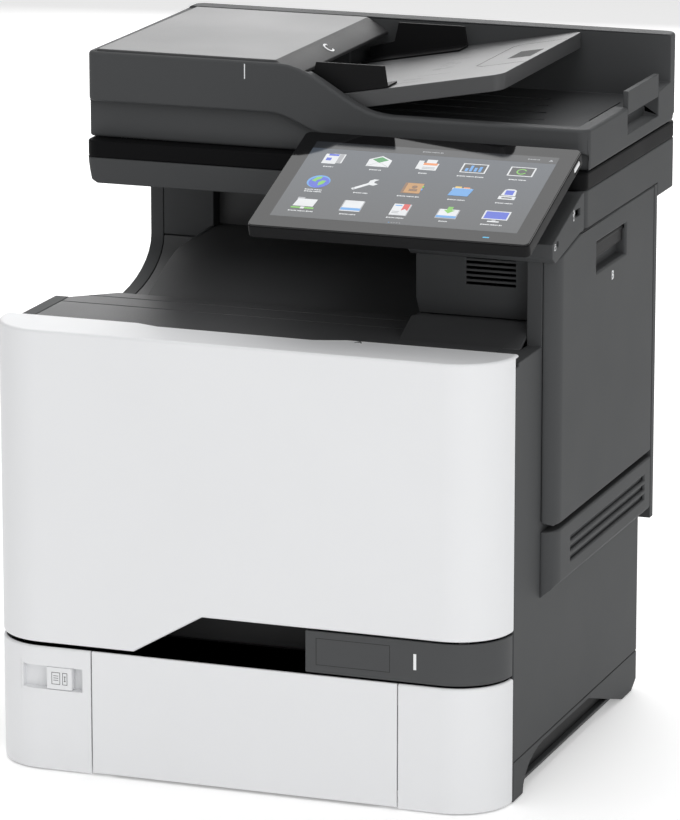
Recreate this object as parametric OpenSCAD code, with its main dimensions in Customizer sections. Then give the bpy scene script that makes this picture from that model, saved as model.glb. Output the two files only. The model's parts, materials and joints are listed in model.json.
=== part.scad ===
// Floor-standing or desktop colour photocopier with a paper tray, a touch display,
// a flatbed scanner and an automatic document feeder.
// X runs from the left side to the right, Y from the front to the back, Z up from the floor.
// Each module draws in machine coordinates: X = 0 at the middle of the front door, Y = 0 at its
// face. place() then moves the machine so that the origin is under the middle of its box.

/* [Body] */
// Width of the white front
front_w = 470; // [440:2:566]
// How far side door B stands out from the body's right side
side_bulge = 13; // [11:0.5:16]
// Depth from the front door's face to the scanner's back
depth = 480; // [460:2:576]
// Depth of the printer body under the scanner's rear overhang
body_depth = 420; // [410:2:450]
// Radius of the white front's upright corners
corner_r = 50; // [40:1:60]
// Wall thickness of the plastic covers
wall = 3; // [2.5:0.1:3.4]

/* [Heights] */
// Top of the paper tray's front
tray_top = 113.4; // [110:0.2:114]
// Top of front door A
door_top = 397; // [394:0.5:402]
// Top of the deck behind front door A
deck_z = 389; // [386:0.5:391]
// Lower face of the black rim round the scanner
rim_low = 510; // [506:0.5:520]
// Height of the black rim
rim_h = 15.3; // [12:0.1:20]
// Height of the document feeder above the rim
feeder_h = 78.7; // [74:0.1:90]

/* [Doors and tray] */
// Height of door A's hinge pin above the floor
door_a_pin_z = 134; // [133:0.5:136]
// Distance of door A's hinge pin behind its face
door_a_pin_y = 14; // [13:0.5:16]
// Radius of the hinge pins of both doors
door_pin_r = 4; // [3:0.25:4.5]
// Width of the manual-feed door in the tray's front
feed_door_w = 283; // [240:1:290]
// Depth of the paper tray's box
tray_depth = 375; // [340:1:380]

/* [Display] */
// Width of the touch display
display_w = 252.6; // [230:0.2:260]
// Height of the touch display along its glass
display_l = 158.8; // [140:0.2:162]
// Thickness of the display's housing
display_t = 12.5; // [11.5:0.5:16]
// Tilt of the display's glass from level
display_tilt = 19.9; // [18:0.1:21]

/* [Rollers] */
// Radius of each photoconductor drum
drum_r = 15; // [13:0.25:15.5]
// Radius of the transfer belt's drive roller
belt_roller_r = 14; // [11:0.25:15]
// Radius of the fuser roller and of the pressure roller
fuser_r = 12; // [9:0.25:12.5]
// Radius of the tray's pick rollers
pick_r = 16; // [14:0.25:17]

/* [Fits] */
// Radial clearance of a shaft or pin in its bore
run_fit = 0.05; // [0.02:0.01:0.09]
// Gap between a moving cover and its neighbour
cover_gap = 0.6; // [0.4:0.1:1]

/* [Hidden] */
$fn = 48;

tiny = 0.01;
white = [0.9, 0.9, 0.91];
grey = [0.3, 0.31, 0.32];
dark = [0.12, 0.12, 0.13];
steel = [0.62, 0.64, 0.66];
rubber = [0.08, 0.08, 0.08];

hw = front_w / 2;
side_x = hw + side_bulge;
cover_front = corner_r + cover_gap;
cover_back = body_depth - wall;
pan_z = 9;
pan_t = 3;
skirt_top = 36;
frame_z = pan_z + pan_t;
frame_t = 2;
frame_x = hw - 8;
frame_back = body_depth - 6;
mid_z = 117;
band_low = tray_top + 2.1;
band_high = 152.5;
band_left = 63.4;
door_low = tray_top + 3.6;
door_step = band_high + 1.7;
seam_z = rim_low - 34;
cap_z = rim_low - 46.5;
scan_low = rim_low - 23;
rim_top = rim_low + rim_h;
feeder_low = rim_top + 0.4;
feeder_top = rim_top + feeder_h;
tray_rim_z = feeder_top - 41.5;
out_tray_z = tray_rim_z - 14.5;
bulge_front = 122;
bin_right = 114;
bin_back = body_depth - 15;
ramp_y = 105;
lip_y = 195;
floor_low = deck_z - 17;
floor_high = deck_z + 23;
pillar_y = body_depth - 28;
scan_front = 197.5;
feeder_front = 206;
scan_left = -hw + 16;
feeder_left = -hw + 14.5;
cart_pitch = (front_w - 130) / 4;
cart_x0 = -hw + 85;
cart_top = deck_z - 40;
drum_z = 262;
belt_top = drum_z - drum_r - 0.3;
belt_t = 1;
belt_r = belt_roller_r + 0.3 + belt_t;
belt_z = belt_top - belt_r;
belt_x0 = cart_x0 - 20;
belt_x1 = cart_x0 + 3 * cart_pitch + 20;
fuser_x = hw - 52;
fuser_z = 365;
nip = 0.3;
exit_x = bin_right + 14;
exit_z = deck_z + 60;
pick_x = 150;
pick_z = 108;
roller_pin_r = 3;
tray_half = hw - 27;
rail_z = 62;
b_low = 229;
b_pin_x = hw + 5;
b_pin_z = 236;
b_back = body_depth - 9.5;
window_y0 = 150;
window_y1 = body_depth - 25;
window_z0 = 246;
window_z1 = cap_z - 8;
grip_y0 = 236;
grip_y1 = 324;
grip_z0 = 431;
grip_z1 = 458;
latch_x = hw + side_bulge - 4.75;
latch_z = grip_z1 - 3;
latch_pin_r = 1.8;
disp_y = 42.5;
disp_z = rim_low - 15.7;
disp_x = side_x - 0.7 - display_w;
tilt_pin_y = 158;
tilt_pin_z = rim_low - 3.5;

module place() {
    translate([-side_bulge / 2, -depth / 2, 0]) children();
}

// Extrudes a Y-Z outline along X.
module along_x(x0, x1) {
    translate([x0, 0, 0]) rotate([90, 0, 90]) linear_extrude(x1 - x0) children();
}

// Extrudes an X-Z outline along Y.
module along_y(y0, y1) {
    translate([0, y1, 0]) rotate([90, 0, 0]) linear_extrude(y1 - y0) children();
}

module box(x0, x1, y0, y1, z0, z1) {
    translate([x0, y0, z0]) cube([x1 - x0, y1 - y0, z1 - z0]);
}

module rod_x(r, x0, x1, y, z) {
    translate([x0, y, z]) rotate([0, 90, 0]) cylinder(r = r, h = x1 - x0);
}

module rod_y(r, y0, y1, x, z) {
    translate([x, y0, z]) rotate([-90, 0, 0]) cylinder(r = r, h = y1 - y0);
}

module mirrored() {
    children();
    mirror([1, 0, 0]) children();
}

// Plan of the white front: two round front corners, inset evenly, cut off at depth d.
module front_plan(inset, d) {
    w = hw - inset;
    r = corner_r - inset;
    intersection() {
        union() {
            translate([-w, corner_r]) square([2 * w, corner_r]);
            translate([-w + r, inset]) square([2 * (w - r), corner_r]);
            for (s = [-1, 1])
                translate([s * (w - r), corner_r]) circle(r);
        }
        translate([-hw - 1, -1]) square([front_w + 2, d + 1]);
    }
}

// Upright skin that follows the front plan.
module front_skin(inset, t, z0, z1) {
    translate([0, 0, z0]) linear_extrude(z1 - z0) difference() {
        front_plan(inset, corner_r);
        front_plan(inset + t, corner_r + 1);
    }
}

// Plan with four round corners.
module round_plan(x0, x1, y0, y1, r) {
    translate([x0 + r, y0]) square([x1 - x0 - 2 * r, y1 - y0]);
    translate([x0, y0 + r]) square([x1 - x0, y1 - y0 - 2 * r]);
    for (x = [x0 + r, x1 - r], y = [y0 + r, y1 - r])
        translate([x, y]) circle(r);
}

module round_block(x0, x1, y0, y1, z0, z1, r) {
    translate([0, 0, z0]) linear_extrude(z1 - z0) round_plan(x0, x1, y0, y1, r);
}

// ---- lower body ----

module skirt_outline() {
    foot_z = 0.8;
    arch_z = 32;
    polygon(concat(
        [[cover_front + 2, skirt_top], [cover_front + 2, foot_z], [80, foot_z]],
        [for (a = [15:15:75]) [80 + 58 * (1 - cos(a)), foot_z + (arch_z - foot_z) * sin(a)]],
        [[138, arch_z], [270, arch_z], [body_depth - 46, foot_z], [body_depth - 17, foot_z],
         [cover_back, foot_z + 8], [cover_back, skirt_top]]));
}

module base_pan() {
    color(dark) place() union() {
        box(-hw + wall - tiny, hw - wall + tiny, 56, cover_back - 1, pan_z, pan_z + pan_t);
        mirrored() along_x(hw - wall, hw) skirt_outline();
    }
}

module rubber_feet() {
    color(rubber) place() mirrored() for (y = [90, body_depth - 40])
        translate([hw - 35, y, 0]) cylinder(r = 11, h = pan_z);
}

module base_frame() {
    rail_t = 2;
    color(steel) place() difference() {
        union() {
            along_x(-frame_x, -frame_x + frame_t) polygon([[62, frame_z], [frame_back, frame_z],
                [frame_back, scan_low - 13], [pillar_y + 5, scan_low - 13], [pillar_y + 5, 352],
                [62, 352]]);
            along_x(frame_x - frame_t, frame_x) polygon([[62, frame_z], [frame_back, frame_z],
                [frame_back, cap_z - 3.5], [131, cap_z - 3.5], [131, 380], [62, 380]]);
            box(-frame_x, frame_x, frame_back - frame_t, frame_back, frame_z, cap_z - 3.5);
            box(-frame_x, frame_x, cover_front + 4.7, frame_back, mid_z, mid_z + frame_t);
            mirrored() box(tray_half + 1, frame_x, 70, frame_back, rail_z, rail_z + rail_t);
            box(pick_x - 8, pick_x + 8, 106, 110, pick_z - 8, mid_z + tiny);
        }
        rod_y(roller_pin_r + run_fit, 100, frame_back + 1, pick_x, pick_z);
        box(frame_x - 5, frame_x + 5, window_y0, window_y1, window_z0, window_z1);
        box(pick_x - 22, pick_x + 22, 120, 300, mid_z - 5, mid_z + 5);
        rod_y(30, frame_back - 5, frame_back + 5, -140, 300);
        for (x = [60, 110, 160])
            box(x, x + 30, frame_back - 5, frame_back + 5, 150, 185);
    }
}

// Side outline of the left cover: level, a dip, then a sweep up to the rear pillar.
module left_outline(e) {
    dip_z = deck_z - 33;
    sweep_z = deck_z + 11;
    sweep_y = pillar_y - 107;
    polygon(concat(
        [[cover_front + e, skirt_top + 0.7 + e], [cover_back - e, skirt_top + 0.7 + e],
         [cover_back - e, scan_low - 0.5 - e], [pillar_y + e, scan_low - 0.5 - e]],
        [for (a = [90:-10:0]) [sweep_y + (pillar_y - sweep_y + e) * sin(a),
            sweep_z - (sweep_z - dip_z + e) * cos(a)]],
        [[lip_y + 5 - e, dip_z - e], [lip_y - 30 - e, deck_z - e], [cover_front + e, deck_z - e]]));
}

module left_pillar_top() {
    along_x(-hw, -hw + 13) polygon([[pillar_y, scan_low - 20], [cover_back, scan_low - 20],
        [cover_back, scan_low - 0.5], [pillar_y, scan_low - 0.5]]);
}

module left_cover() {
    color(grey) place() union() {
        difference() {
            along_x(-hw, -hw + 7) left_outline(0);
            along_x(-hw + wall, -hw + 8) left_outline(wall);
        }
        difference() {
            along_x(-hw + wall, -hw + 13) left_outline(0);
            along_x(-hw + wall - 1, -hw + 14) left_outline(wall);
            box(-hw, -hw + 14, 0, depth, 0, 353);
            box(-hw + 7, -hw + 14, cover_back - wall - 1, depth, 0, rim_low);
        }
    }
}

// Front corner of the side bulge in plan: a quarter of an ellipse, inset evenly.
module bulge_plan(y1, e) {
    polygon(concat(
        [for (a = [0:10:90]) [hw + (side_bulge - e) * sin(a),
            bulge_front + 20 - (20 - e) * cos(a)]],
        [[side_x - e, y1], [hw, y1]]));
}

module right_cover() {
    shoulder_x = hw - 30;
    column_x = hw - 14;
    color(grey) place() difference() {
        union() {
            box(hw - wall, hw, cover_front, cover_back, skirt_top + 0.7, deck_z - wall);
            box(hw - wall, hw, bulge_front, cover_back, deck_z - wall - tiny, cap_z);
            box(hw - wall, hw, 187, cover_back, cap_z - tiny, seam_z);
            box(shoulder_x, hw, cover_front + 8, ramp_y - 0.4, deck_z - wall, deck_z);
            box(column_x, hw, ramp_y - 0.4 - tiny, bulge_front, deck_z - wall, deck_z);
            box(column_x, hw, bulge_front, bulge_front + wall, deck_z - wall, cap_z);
            box(column_x, column_x + wall, bulge_front, 139, deck_z - wall, cap_z);
            box(hw - tiny, side_x, b_back + cover_gap, body_depth, 165, seam_z);
            box(hw - wall, hw, cover_back - tiny, body_depth, 165, seam_z);
            // pin of door B, held by two ears at the ends of its lower edge
            for (y = [bulge_front + 24, b_back - 16]) {
                box(hw - tiny, b_pin_x, y, y + 5, b_pin_z - 4.5, b_pin_z + 4.5);
                rod_y(4.5, y, y + 5, b_pin_x, b_pin_z);
            }
            rod_y(door_pin_r - 1, bulge_front + 24, bulge_front + 40, b_pin_x, b_pin_z);
            rod_y(door_pin_r - 1, b_back - 27, b_back - 11, b_pin_x, b_pin_z);
        }
        box(hw - 5, hw + tiny, window_y0, window_y1, window_z0, window_z1);
        box(hw + wall, side_x - wall, b_back + cover_gap + wall, body_depth - wall,
            168, seam_z - wall);
    }
}

module rear_cover() {
    color(grey) place() difference() {
        box(-hw + 0.2, hw - wall - 0.2, cover_back + 0.2, body_depth, skirt_top + 0.7, cap_z);
        rod_y(30, cover_back - 5, body_depth + 5, -140, 300);
        for (x = [60, 110, 160])
            box(x, x + 30, cover_back - 5, body_depth + 5, 150, 185);
    }
}

module vent_outline(e) {
    polygon([[hw, 165 + e], [hw + side_bulge - e, 176 + e * 0.5],
        [hw + side_bulge - e, 224.2 - e], [hw, 224.2 - e]]);
}

module vent_panel() {
    vent_h = 4;
    color(grey) place() difference() {
        intersection() {
            along_y(bulge_front, b_back) vent_outline(0);
            translate([0, 0, 160]) linear_extrude(70) bulge_plan(b_back, 0);
        }
        intersection() {
            along_y(bulge_front, b_back - wall) vent_outline(wall);
            translate([0, 0, 160]) linear_extrude(70) bulge_plan(b_back - wall, wall);
        }
        for (z = [188, 197, 206])
            box(side_x - 5, side_x + 1, bulge_front + 47, b_back - 19, z, z + vent_h);
    }
}

// ---- front ----

module front_band() {
    color(dark) place() union() {
        intersection() {
            front_skin(cover_gap, wall, band_low, band_high);
            box(band_left, hw + 1, -1, corner_r, 0, rim_low);
        }
        box(band_left, band_left + wall, cover_gap + 1, 52, band_low, band_high);
        box(band_left, 180, 49, 52, band_low, band_high);
    }
}

module inner_front_panel() {
    color(dark) place() difference() {
        union() {
            box(-frame_x + 6, frame_x - 6, 52, 55, mid_z + 2.2, deck_z - wall - 1);
            box(-frame_x + 6, frame_x - 6, 55, 61.8, mid_z + 2.2, mid_z + 8);
            mirrored() for (x = [hw - 49, hw - 36])
                box(x, x + wall, 9.5, 52 + tiny, door_a_pin_z - 6, door_a_pin_z + 6);
            mirrored() rod_x(door_pin_r, hw - 49, hw - 36 + wall, door_a_pin_y, door_a_pin_z);
        }
        for (i = [0:3])
            box(cart_x0 + i * cart_pitch - cart_pitch / 2 + 2,
                cart_x0 + i * cart_pitch + cart_pitch / 2 - 2, 50, 60, 282, cart_top + 3);
    }
}

// Gooseneck hinge arm of door A, which swings clear over the dark band.
module door_a_arm(x0, x1) {
    arc_in = 25;
    arc_out = 32;
    translate([x0, door_a_pin_y, door_a_pin_z]) rotate([0, 90, 0]) {
        difference() {
            union() {
                cylinder(r = 8, h = x1 - x0);
                rotate([0, 0, 90 + 8]) translate([0, -4, 0]) cube([28, 8, x1 - x0]);
                rotate([0, 0, 98]) rotate_extrude(angle = 104)
                    translate([arc_in, 0]) square([arc_out - arc_in, x1 - x0]);
            }
            translate([0, 0, -1]) cylinder(r = door_pin_r + run_fit, h = x1 - x0 + 2);
        }
    }
}

module door_a() {
    grip_x0 = -90;
    grip_x1 = 54;
    top_back = cover_front + 7;
    slant_x0 = -96;
    slant_x1 = -32;
    color(white) place() difference() {
        union() {
            front_skin(0, wall, door_low, door_top);
            translate([0, 0, door_top - 4]) linear_extrude(4) intersection() {
                front_plan(0, top_back);
                translate([-hw, 0]) square([2 * hw, top_back]);
            }
            for (z = [210, 300])
                box(-hw + corner_r, hw - corner_r, wall - tiny, 14, z, z + wall);
            for (x = [-150, -50, 50, 150])
                box(x, x + wall, wall - tiny, 14, door_step + 8, door_top - 2);
            mirrored() door_a_arm(hw - 45, hw - 38);
        }
        // slanted lower edge
        along_y(-1, corner_r + 1) polygon([[slant_x0, 0], [slant_x0, door_low],
            [slant_x1, door_step], [hw + 1, door_step], [hw + 1, 0]]);
        box(slant_x1, hw - 50, -1, 20, 0, door_step);
        // finger scoop in the top edge
        translate([0, 0, door_top - 5]) linear_extrude(10) polygon([
            [grip_x0 - 30, top_back + 1], [grip_x0, top_back - 9], [grip_x1, top_back - 9],
            [grip_x1 + 30, top_back + 1]]);
        // room for the lower rear corner as the door swings
        box(-hw - 1, hw + 1, 44, corner_r + 1, door_low - 1, door_a_pin_z);
    }
    color(white) place() mirrored() door_a_arm(hw - 45, hw - 38);
}

// ---- paper tray ----

tray_z0 = 1.5;
lift_x = -145;
lift_z = 25;
feed_x = 6;
feed_pin_y = 5.5;
feed_pin_z = 8;
slot_x0 = -hw + 34;
slot_x1 = -hw + 91;

module tray_front() {
    gap = 0.5;
    color(white) place() difference() {
        union() {
            front_skin(0, wall, tray_z0, tray_top);
            // floor flange and side cheeks that join the skin to the tray's box
            box(-hw + corner_r, feed_x - feed_door_w / 2 - 2, wall - tiny, 12, 12, 15);
            box(feed_x + feed_door_w / 2 + 2, hw - corner_r, wall - tiny, 12, 12, 15);
            for (x = [feed_x - feed_door_w / 2 - 6, feed_x + feed_door_w / 2 + 2])
                box(x, x + 4, 2, 12, tray_z0 + 2, 90);
            // back of the latch recess
            box(slot_x0 - 2, slot_x1 + 2, wall - tiny, 10, 73, 98);
        }
        box(feed_x - feed_door_w / 2 - gap, feed_x + feed_door_w / 2 + gap, -1, wall + 1,
            0, tray_top + 1);
        box(slot_x0, slot_x1, -1, 8, 75, 96);
    }
    // pins of the manual-feed door
    color(white) place() for (s = [-1, 1])
        rod_x(2.5, feed_x + s * (feed_door_w / 2 - 8) - 10 - tiny,
            feed_x + s * (feed_door_w / 2 - 8) + 10 + tiny, feed_pin_y, feed_pin_z);
}

module tray_body() {
    t = 2.5;
    z0 = 14;
    z1 = 90;
    runner = rail_z + 2.3;
    color(dark) place() difference() {
        union() {
            box(-tray_half, tray_half, 12, 12 + tray_depth, z0, z1);
            mirrored() box(tray_half - tiny, tray_half + 12, 72, 12 + tray_depth, runner,
                runner + 4);
        }
        box(-tray_half + t, tray_half - t, 12 + t, 12 + tray_depth - t, z0 + t, z1 + 1);
        rod_y(2 + run_fit, 11, 13 + tray_depth, lift_x, lift_z);
    }
}

module manual_feed_door() {
    gap = 0.5;
    x0 = feed_x - feed_door_w / 2 + gap;
    x1 = feed_x + feed_door_w / 2 - gap;
    color(white) place() difference() {
        union() {
            box(x0, x1, 0, wall, 3, tray_top);
            for (x = [x0 + 12, x1 - 18])
                box(x, x + 6, wall - tiny, 8, 14, tray_top - 8);
            for (s = [-1, 1])
                translate([feed_x + s * (feed_door_w / 2 - 14) - 3, feed_pin_y, feed_pin_z])
                    rotate([0, 90, 0]) cylinder(r = 4.5, h = 6);
        }
        rod_x(2.5 + run_fit, x0 - 1, x1 + 1, feed_pin_y, feed_pin_z);
    }
}

module tray_latch() {
    tab_w = 24;
    color(white) place() union() {
        box(slot_x0 + 23, slot_x0 + 23 + tab_w, 0.2, 7.7, 75.3, 95.7);
    }
}

module lift_plate() {
    back = 12 + tray_depth;
    color(steel) place() union() {
        box(lift_x - 5, tray_half - 10, 18, back - 6, lift_z - 1, lift_z + 1);
        rod_y(2, 12.2, back - 0.2, lift_x, lift_z);
    }
}

// ---- deck and output bin ----

// The bin's floor rises from behind the lip to a level rear part.
floor_run = 133;
function floor_z(t) = floor_low + (floor_high - 3 - floor_low) * (1 - cos(180 * t)) / 2;
function floor_line(e) = [for (i = [0:10])
    [lip_y + 2 + e * 0.3 + floor_run * i / 10, floor_z(i / 10) - e]];
function reversed(v) = [for (i = [len(v) - 1:-1:0]) v[i]];

module bin_sheet() {
    polygon(concat(
        [[cover_front + 8, deck_z - wall], [cover_front + 8, deck_z], [lip_y, deck_z]],
        floor_line(0),
        [[bin_back, floor_high], [bin_back, scan_low - 0.6], [bin_back + wall, scan_low - 0.6],
         [bin_back + wall, floor_high - wall]],
        reversed(floor_line(wall)),
        [[lip_y - wall, deck_z - wall]]));
}

module deck_cover() {
    left = -hw + 13.4;
    color(grey) place() difference() {
        union() {
            difference() {
                along_x(left, bin_right) bin_sheet();
                // open left side beside the pillar
                box(left - 1, left + 50, lip_y + 3, pillar_y + 60, 0, rim_low);
                translate([0, 0, deck_z - 10]) linear_extrude(20) polygon([[left - 1, 163],
                    [left + 40, lip_y + 4], [left - 1, lip_y + 4]]);
                box(60, 104, 342, 366, floor_high - 1.5, floor_high + 1);
            }
            // saddle beside the bin, under the left sweep
            along_x(left, left + 50) polygon(concat(
                [for (a = [90:-10:0]) [pillar_y - 107 + 107 * sin(a),
                    deck_z + 11 - 44 * cos(a)]],
                [[lip_y + 5, deck_z - 33], [lip_y + 5, deck_z - 37]],
                [for (a = [0:10:90]) [pillar_y - 107 + 111 * sin(a),
                    deck_z + 11 - 48 * cos(a)]]));
            along_x(left + 46, left + 50) polygon(concat([[lip_y + 5, deck_z - 37]],
                floor_line(0), [[pillar_y - 0.6, floor_high], [pillar_y - 0.6, floor_high - 14],
                [pillar_y - 20, deck_z - 30], [pillar_y - 107, deck_z - 37]]));
            // platform in front of the grille column
            box(bin_right - tiny, hw - 30.4, cover_front + 8, ramp_y + tiny, deck_z - wall,
                deck_z);
            along_x(bin_right - tiny, hw - 14.4) polygon([[ramp_y, deck_z - wall],
                [ramp_y, deck_z], [138, deck_z + 15], [148.6, deck_z + 15],
                [148.6, deck_z + 15 - wall], [138, deck_z + 15 - wall],
                [ramp_y + 2, deck_z - wall]]);
            along_x(bin_right - wall, bin_right) polygon([[ramp_y - 5, deck_z - wall],
                [138, deck_z - wall], [138, deck_z + 15], [ramp_y, deck_z]]);
            box(bin_right - wall, bin_right, 137, lip_y + 3, deck_z - wall, deck_z + 13);
            along_x(bin_right - wall, bin_right) polygon([[lip_y, deck_z - wall],
                [lip_y, deck_z + 13], [bin_back, deck_z + 13], [bin_back, floor_high - wall],
                [330, floor_high - 6], [lip_y + 8, floor_low - wall]]);
        }
        // seam lines
        for (y = [146, 176])
            box(left - 1, bin_right - 12, y, y + 0.8, deck_z - 0.8, deck_z + 1);
    }
}

module left_pillar() {
    x0 = -hw + 13.4;
    color(grey) place() union() {
        box(x0, x0 + 49.6, pillar_y + 4.4, frame_back - frame_t - 0.4, deck_z + 8,
            scan_low - 0.6);
        box(x0, x0 + 49.6, pillar_y, pillar_y + 4.4 + tiny, deck_z + 12, scan_low - 22);
        box(x0, x0 + 49.6, pillar_y, pillar_y + 4.4 + tiny, scan_low - 20, scan_low - 0.6);
    }
}

module grille_column() {
    front = 140;
    back = body_depth - 8.4;
    right = hw - 14.4;
    low = deck_z + 15.4;
    module column_outline(e) {
        polygon([[front + 9 + e * 0.5, low + e], [front + e, low + 15],
            [front + e, cap_z - 0.6 - e], [scan_front + 1 + e, cap_z - 0.6 - e],
            [scan_front + 1 + e, scan_low - 0.6 - e], [back - e, scan_low - 0.6 - e],
            [back - e, low + e]]);
    }
    color(grey) place() difference() {
        along_x(bin_right + 0.4, right) column_outline(0);
        along_x(bin_right + 0.4 + wall, right - wall) column_outline(wall);
        // right side is open towards the paper path
        box(right - wall - 1, right + 1, window_y0, window_y1, low + 6, cap_z - 6);
        // bottom is open over the fuser
        box(bin_right + 30, right - 6, 160, back - 20, low - 1, low + wall + 1);
        // exit slot
        box(bin_right - 1, bin_right + 5, 165, back - 22, exit_z - 9, exit_z + 9);
        for (i = [0:5])
            box(160, 205, front - 1, front + wall + 1, cap_z - 6 - 4.6 * i,
                cap_z - 3.6 - 4.6 * i);
        rod_y(roller_pin_r + run_fit, front + 10, back + 1, exit_x, exit_z);
    }
    color(grey) place() difference() {
        box(bin_right + wall, exit_x + 8, 154, 158, low + wall - tiny, exit_z + 8);
        rod_y(roller_pin_r + run_fit, front, back, exit_x, exit_z);
    }
}

// ---- console and display ----

module display_console() {
    // back_z is the height of the lower edge at the back, which clears door B on the right
    module console_outline(e, back_z) {
        polygon([[108 + e, cap_z + 6], [117, cap_z + e], [187, back_z + e],
            [scan_front - 0.4 - e, back_z + e], [scan_front - 0.4 - e, rim_low - e],
            [191, rim_low - e], [108 + e, cap_z + 18]]);
    }
    split_x = hw - 14.4;
    color(dark) place() difference() {
        union() {
            difference() {
                union() {
                    along_x(bin_right + 3, split_x) console_outline(0, cap_z);
                    along_x(split_x - tiny, side_x) console_outline(0, seam_z + 0.6);
                }
                along_x(bin_right + 3 + wall, split_x - wall) console_outline(wall, cap_z);
                along_x(split_x - wall - tiny, side_x - wall)
                    console_outline(wall, seam_z + 0.6);
            }
            for (x = [bin_right + 30, side_x - 40])
                along_x(x, x + 6) polygon([[tilt_pin_y - 8, rim_low - 14],
                    [tilt_pin_y - 5, tilt_pin_z + 5], [tilt_pin_y + 5, tilt_pin_z + 5],
                    [tilt_pin_y + 12, rim_low - 8]]);
            rod_x(3, bin_right + 30, bin_right + 44, tilt_pin_y, tilt_pin_z);
            rod_x(3, side_x - 48, side_x - 34, tilt_pin_y, tilt_pin_z);
        }
        box(side_x - 5, side_x + 1, 173, 185, rim_low - 17, rim_low - 11.5);
        box(side_x - 8, side_x + 1, 172, 186, rim_low - 17.4, rim_low - 11.1);
        rod_x(2.5, side_x - 5, side_x + 1, 123, cap_z + 16);
    }
}

// Draws in the display's own frame: u along X, v up the glass, n out of the glass.
module on_display() {
    translate([disp_x, disp_y, disp_z]) rotate([display_tilt, 0, 0]) children();
}

module display_housing() {
    color(dark) place() difference() {
        union() {
            on_display() difference() {
                translate([0, 0, -display_t]) linear_extrude(display_t - 1.8)
                    round_plan(0, display_w, 0, display_l, 5);
                translate([0, 0, -display_t + wall]) linear_extrude(display_t)
                    round_plan(wall, display_w - wall, wall, display_l - wall, 3);
                translate([display_w - wall - 1, 133.5, -10]) cube([wall + 2, 16, 5.4]);
            }
            for (x = [bin_right + 36.4, side_x - 48.4])
                along_x(x, x + 8) polygon([[tilt_pin_y - 12, tilt_pin_z + 13.5],
                    [tilt_pin_y - 6, tilt_pin_z - 5], [tilt_pin_y + 6, tilt_pin_z - 5],
                    [tilt_pin_y + 12, tilt_pin_z + 22.3]]);
        }
        for (x = [bin_right + 36, side_x - 49])
            rod_x(3 + run_fit, x, x + 9, tilt_pin_y, tilt_pin_z);
    }
}

module display_glass() {
    color([0.2, 0.22, 0.24]) place() on_display() translate([0, 0, -1.8])
        linear_extrude(1.8) round_plan(0.4, display_w - 0.4, 0.4, display_l - 0.4, 5);
}

module power_button() {
    color(white) place() on_display()
        translate([display_w - wall - 2, 134, -9.2]) cube([wall + 2.4, 15, 4.3]);
}

// ---- scanner ----

module scanner_plan(e) {
    round_plan(scan_left + e, side_x - e, scan_front + e, depth - 2 - e, 12);
}

module scanner_base() {
    color(grey) place() difference() {
        union() {
            intersection() {
                translate([0, 0, scan_low]) linear_extrude(rim_low - scan_low) scanner_plan(0);
                along_y(0, depth) polygon([[scan_left, rim_low], [scan_left + 6, scan_low + 3],
                    [scan_left + 12, scan_low], [side_x, scan_low], [side_x, rim_low]]);
            }
            // side apron above door B and the rear overhang
            intersection() {
                union() {
                    box(hw - 12, side_x, scan_front, body_depth + 5, seam_z + cover_gap,
                        scan_low + 1);
                    box(scan_left + 20, side_x, body_depth + 0.6, depth - 2, cap_z,
                        scan_low + 1);
                }
                translate([0, 0, cap_z]) linear_extrude(30) scanner_plan(0);
            }
        }
        box(scan_left + 14, side_x - 8, scan_front + 12, depth - 14, scan_low + wall, rim_low + 1);
        box(hw - 9, side_x - wall, scan_front + 6, body_depth + 1, seam_z, scan_low + 4);
        box(scan_left + 24, side_x - 4, body_depth + 4, depth - 16, cap_z + wall, scan_low + 4);
    }
    color(steel) place() rod_x(4, scan_left + 14 - 1, side_x - 7, 340, scan_low + 10);
}

module scanner_rim() {
    color(dark) place() difference() {
        translate([0, 0, rim_low]) linear_extrude(rim_h) scanner_plan(0);
        box(scan_left + 14, side_x - 8, scan_front + 12, depth - 14, rim_low - 1,
            rim_top - 4.2);
        box(-150, 150, 222, 442, rim_low, rim_top + 1);
        box(-190, -170, 222, 442, rim_low, rim_top + 1);
        box(-153, 153, 219, 445, rim_top - 3, rim_top + 1);
        box(-193, -167, 219, 445, rim_top - 3, rim_top + 1);
    }
}

module platen_glass() {
    color([0.7, 0.8, 0.85]) place() union() {
        box(-152.8, 152.8, 219.2, 444.8, rim_top - 3, rim_top - 0.2);
        box(-192.8, -167.2, 219.2, 444.8, rim_top - 3, rim_top - 0.2);
    }
}

module scan_carriage() {
    color(dark) place() difference() {
        box(-190, -165, 224, 440, scan_low + 4, rim_top - 6);
        rod_x(4 + run_fit, -200, -150, 340, scan_low + 10);
    }
}

// ---- document feeder ----

step_x0 = -39;
step_run = 105;
// Height of the sweep from the feeder's high part down to the output tray's rim, 0 to 1.
function sweep(t) = (1 + cos(180 * t)) / 2;
function sweep_line(x0, run, high, low) = [for (i = [0:10])
    [x0 + run * i / 10, low + (high - low) * sweep(i / 10)]];
in_slope = 0.1817;
in_x0 = -42;
in_pin_x = -38;
in_x1 = 165;
function in_z(x) = feeder_top - 25.5 + (x - 21) * in_slope;
in_pin_z = in_z(in_pin_x) - 3;
feeder_back = 456;
stop_y0 = 324;
stop_y1 = 419;

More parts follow.
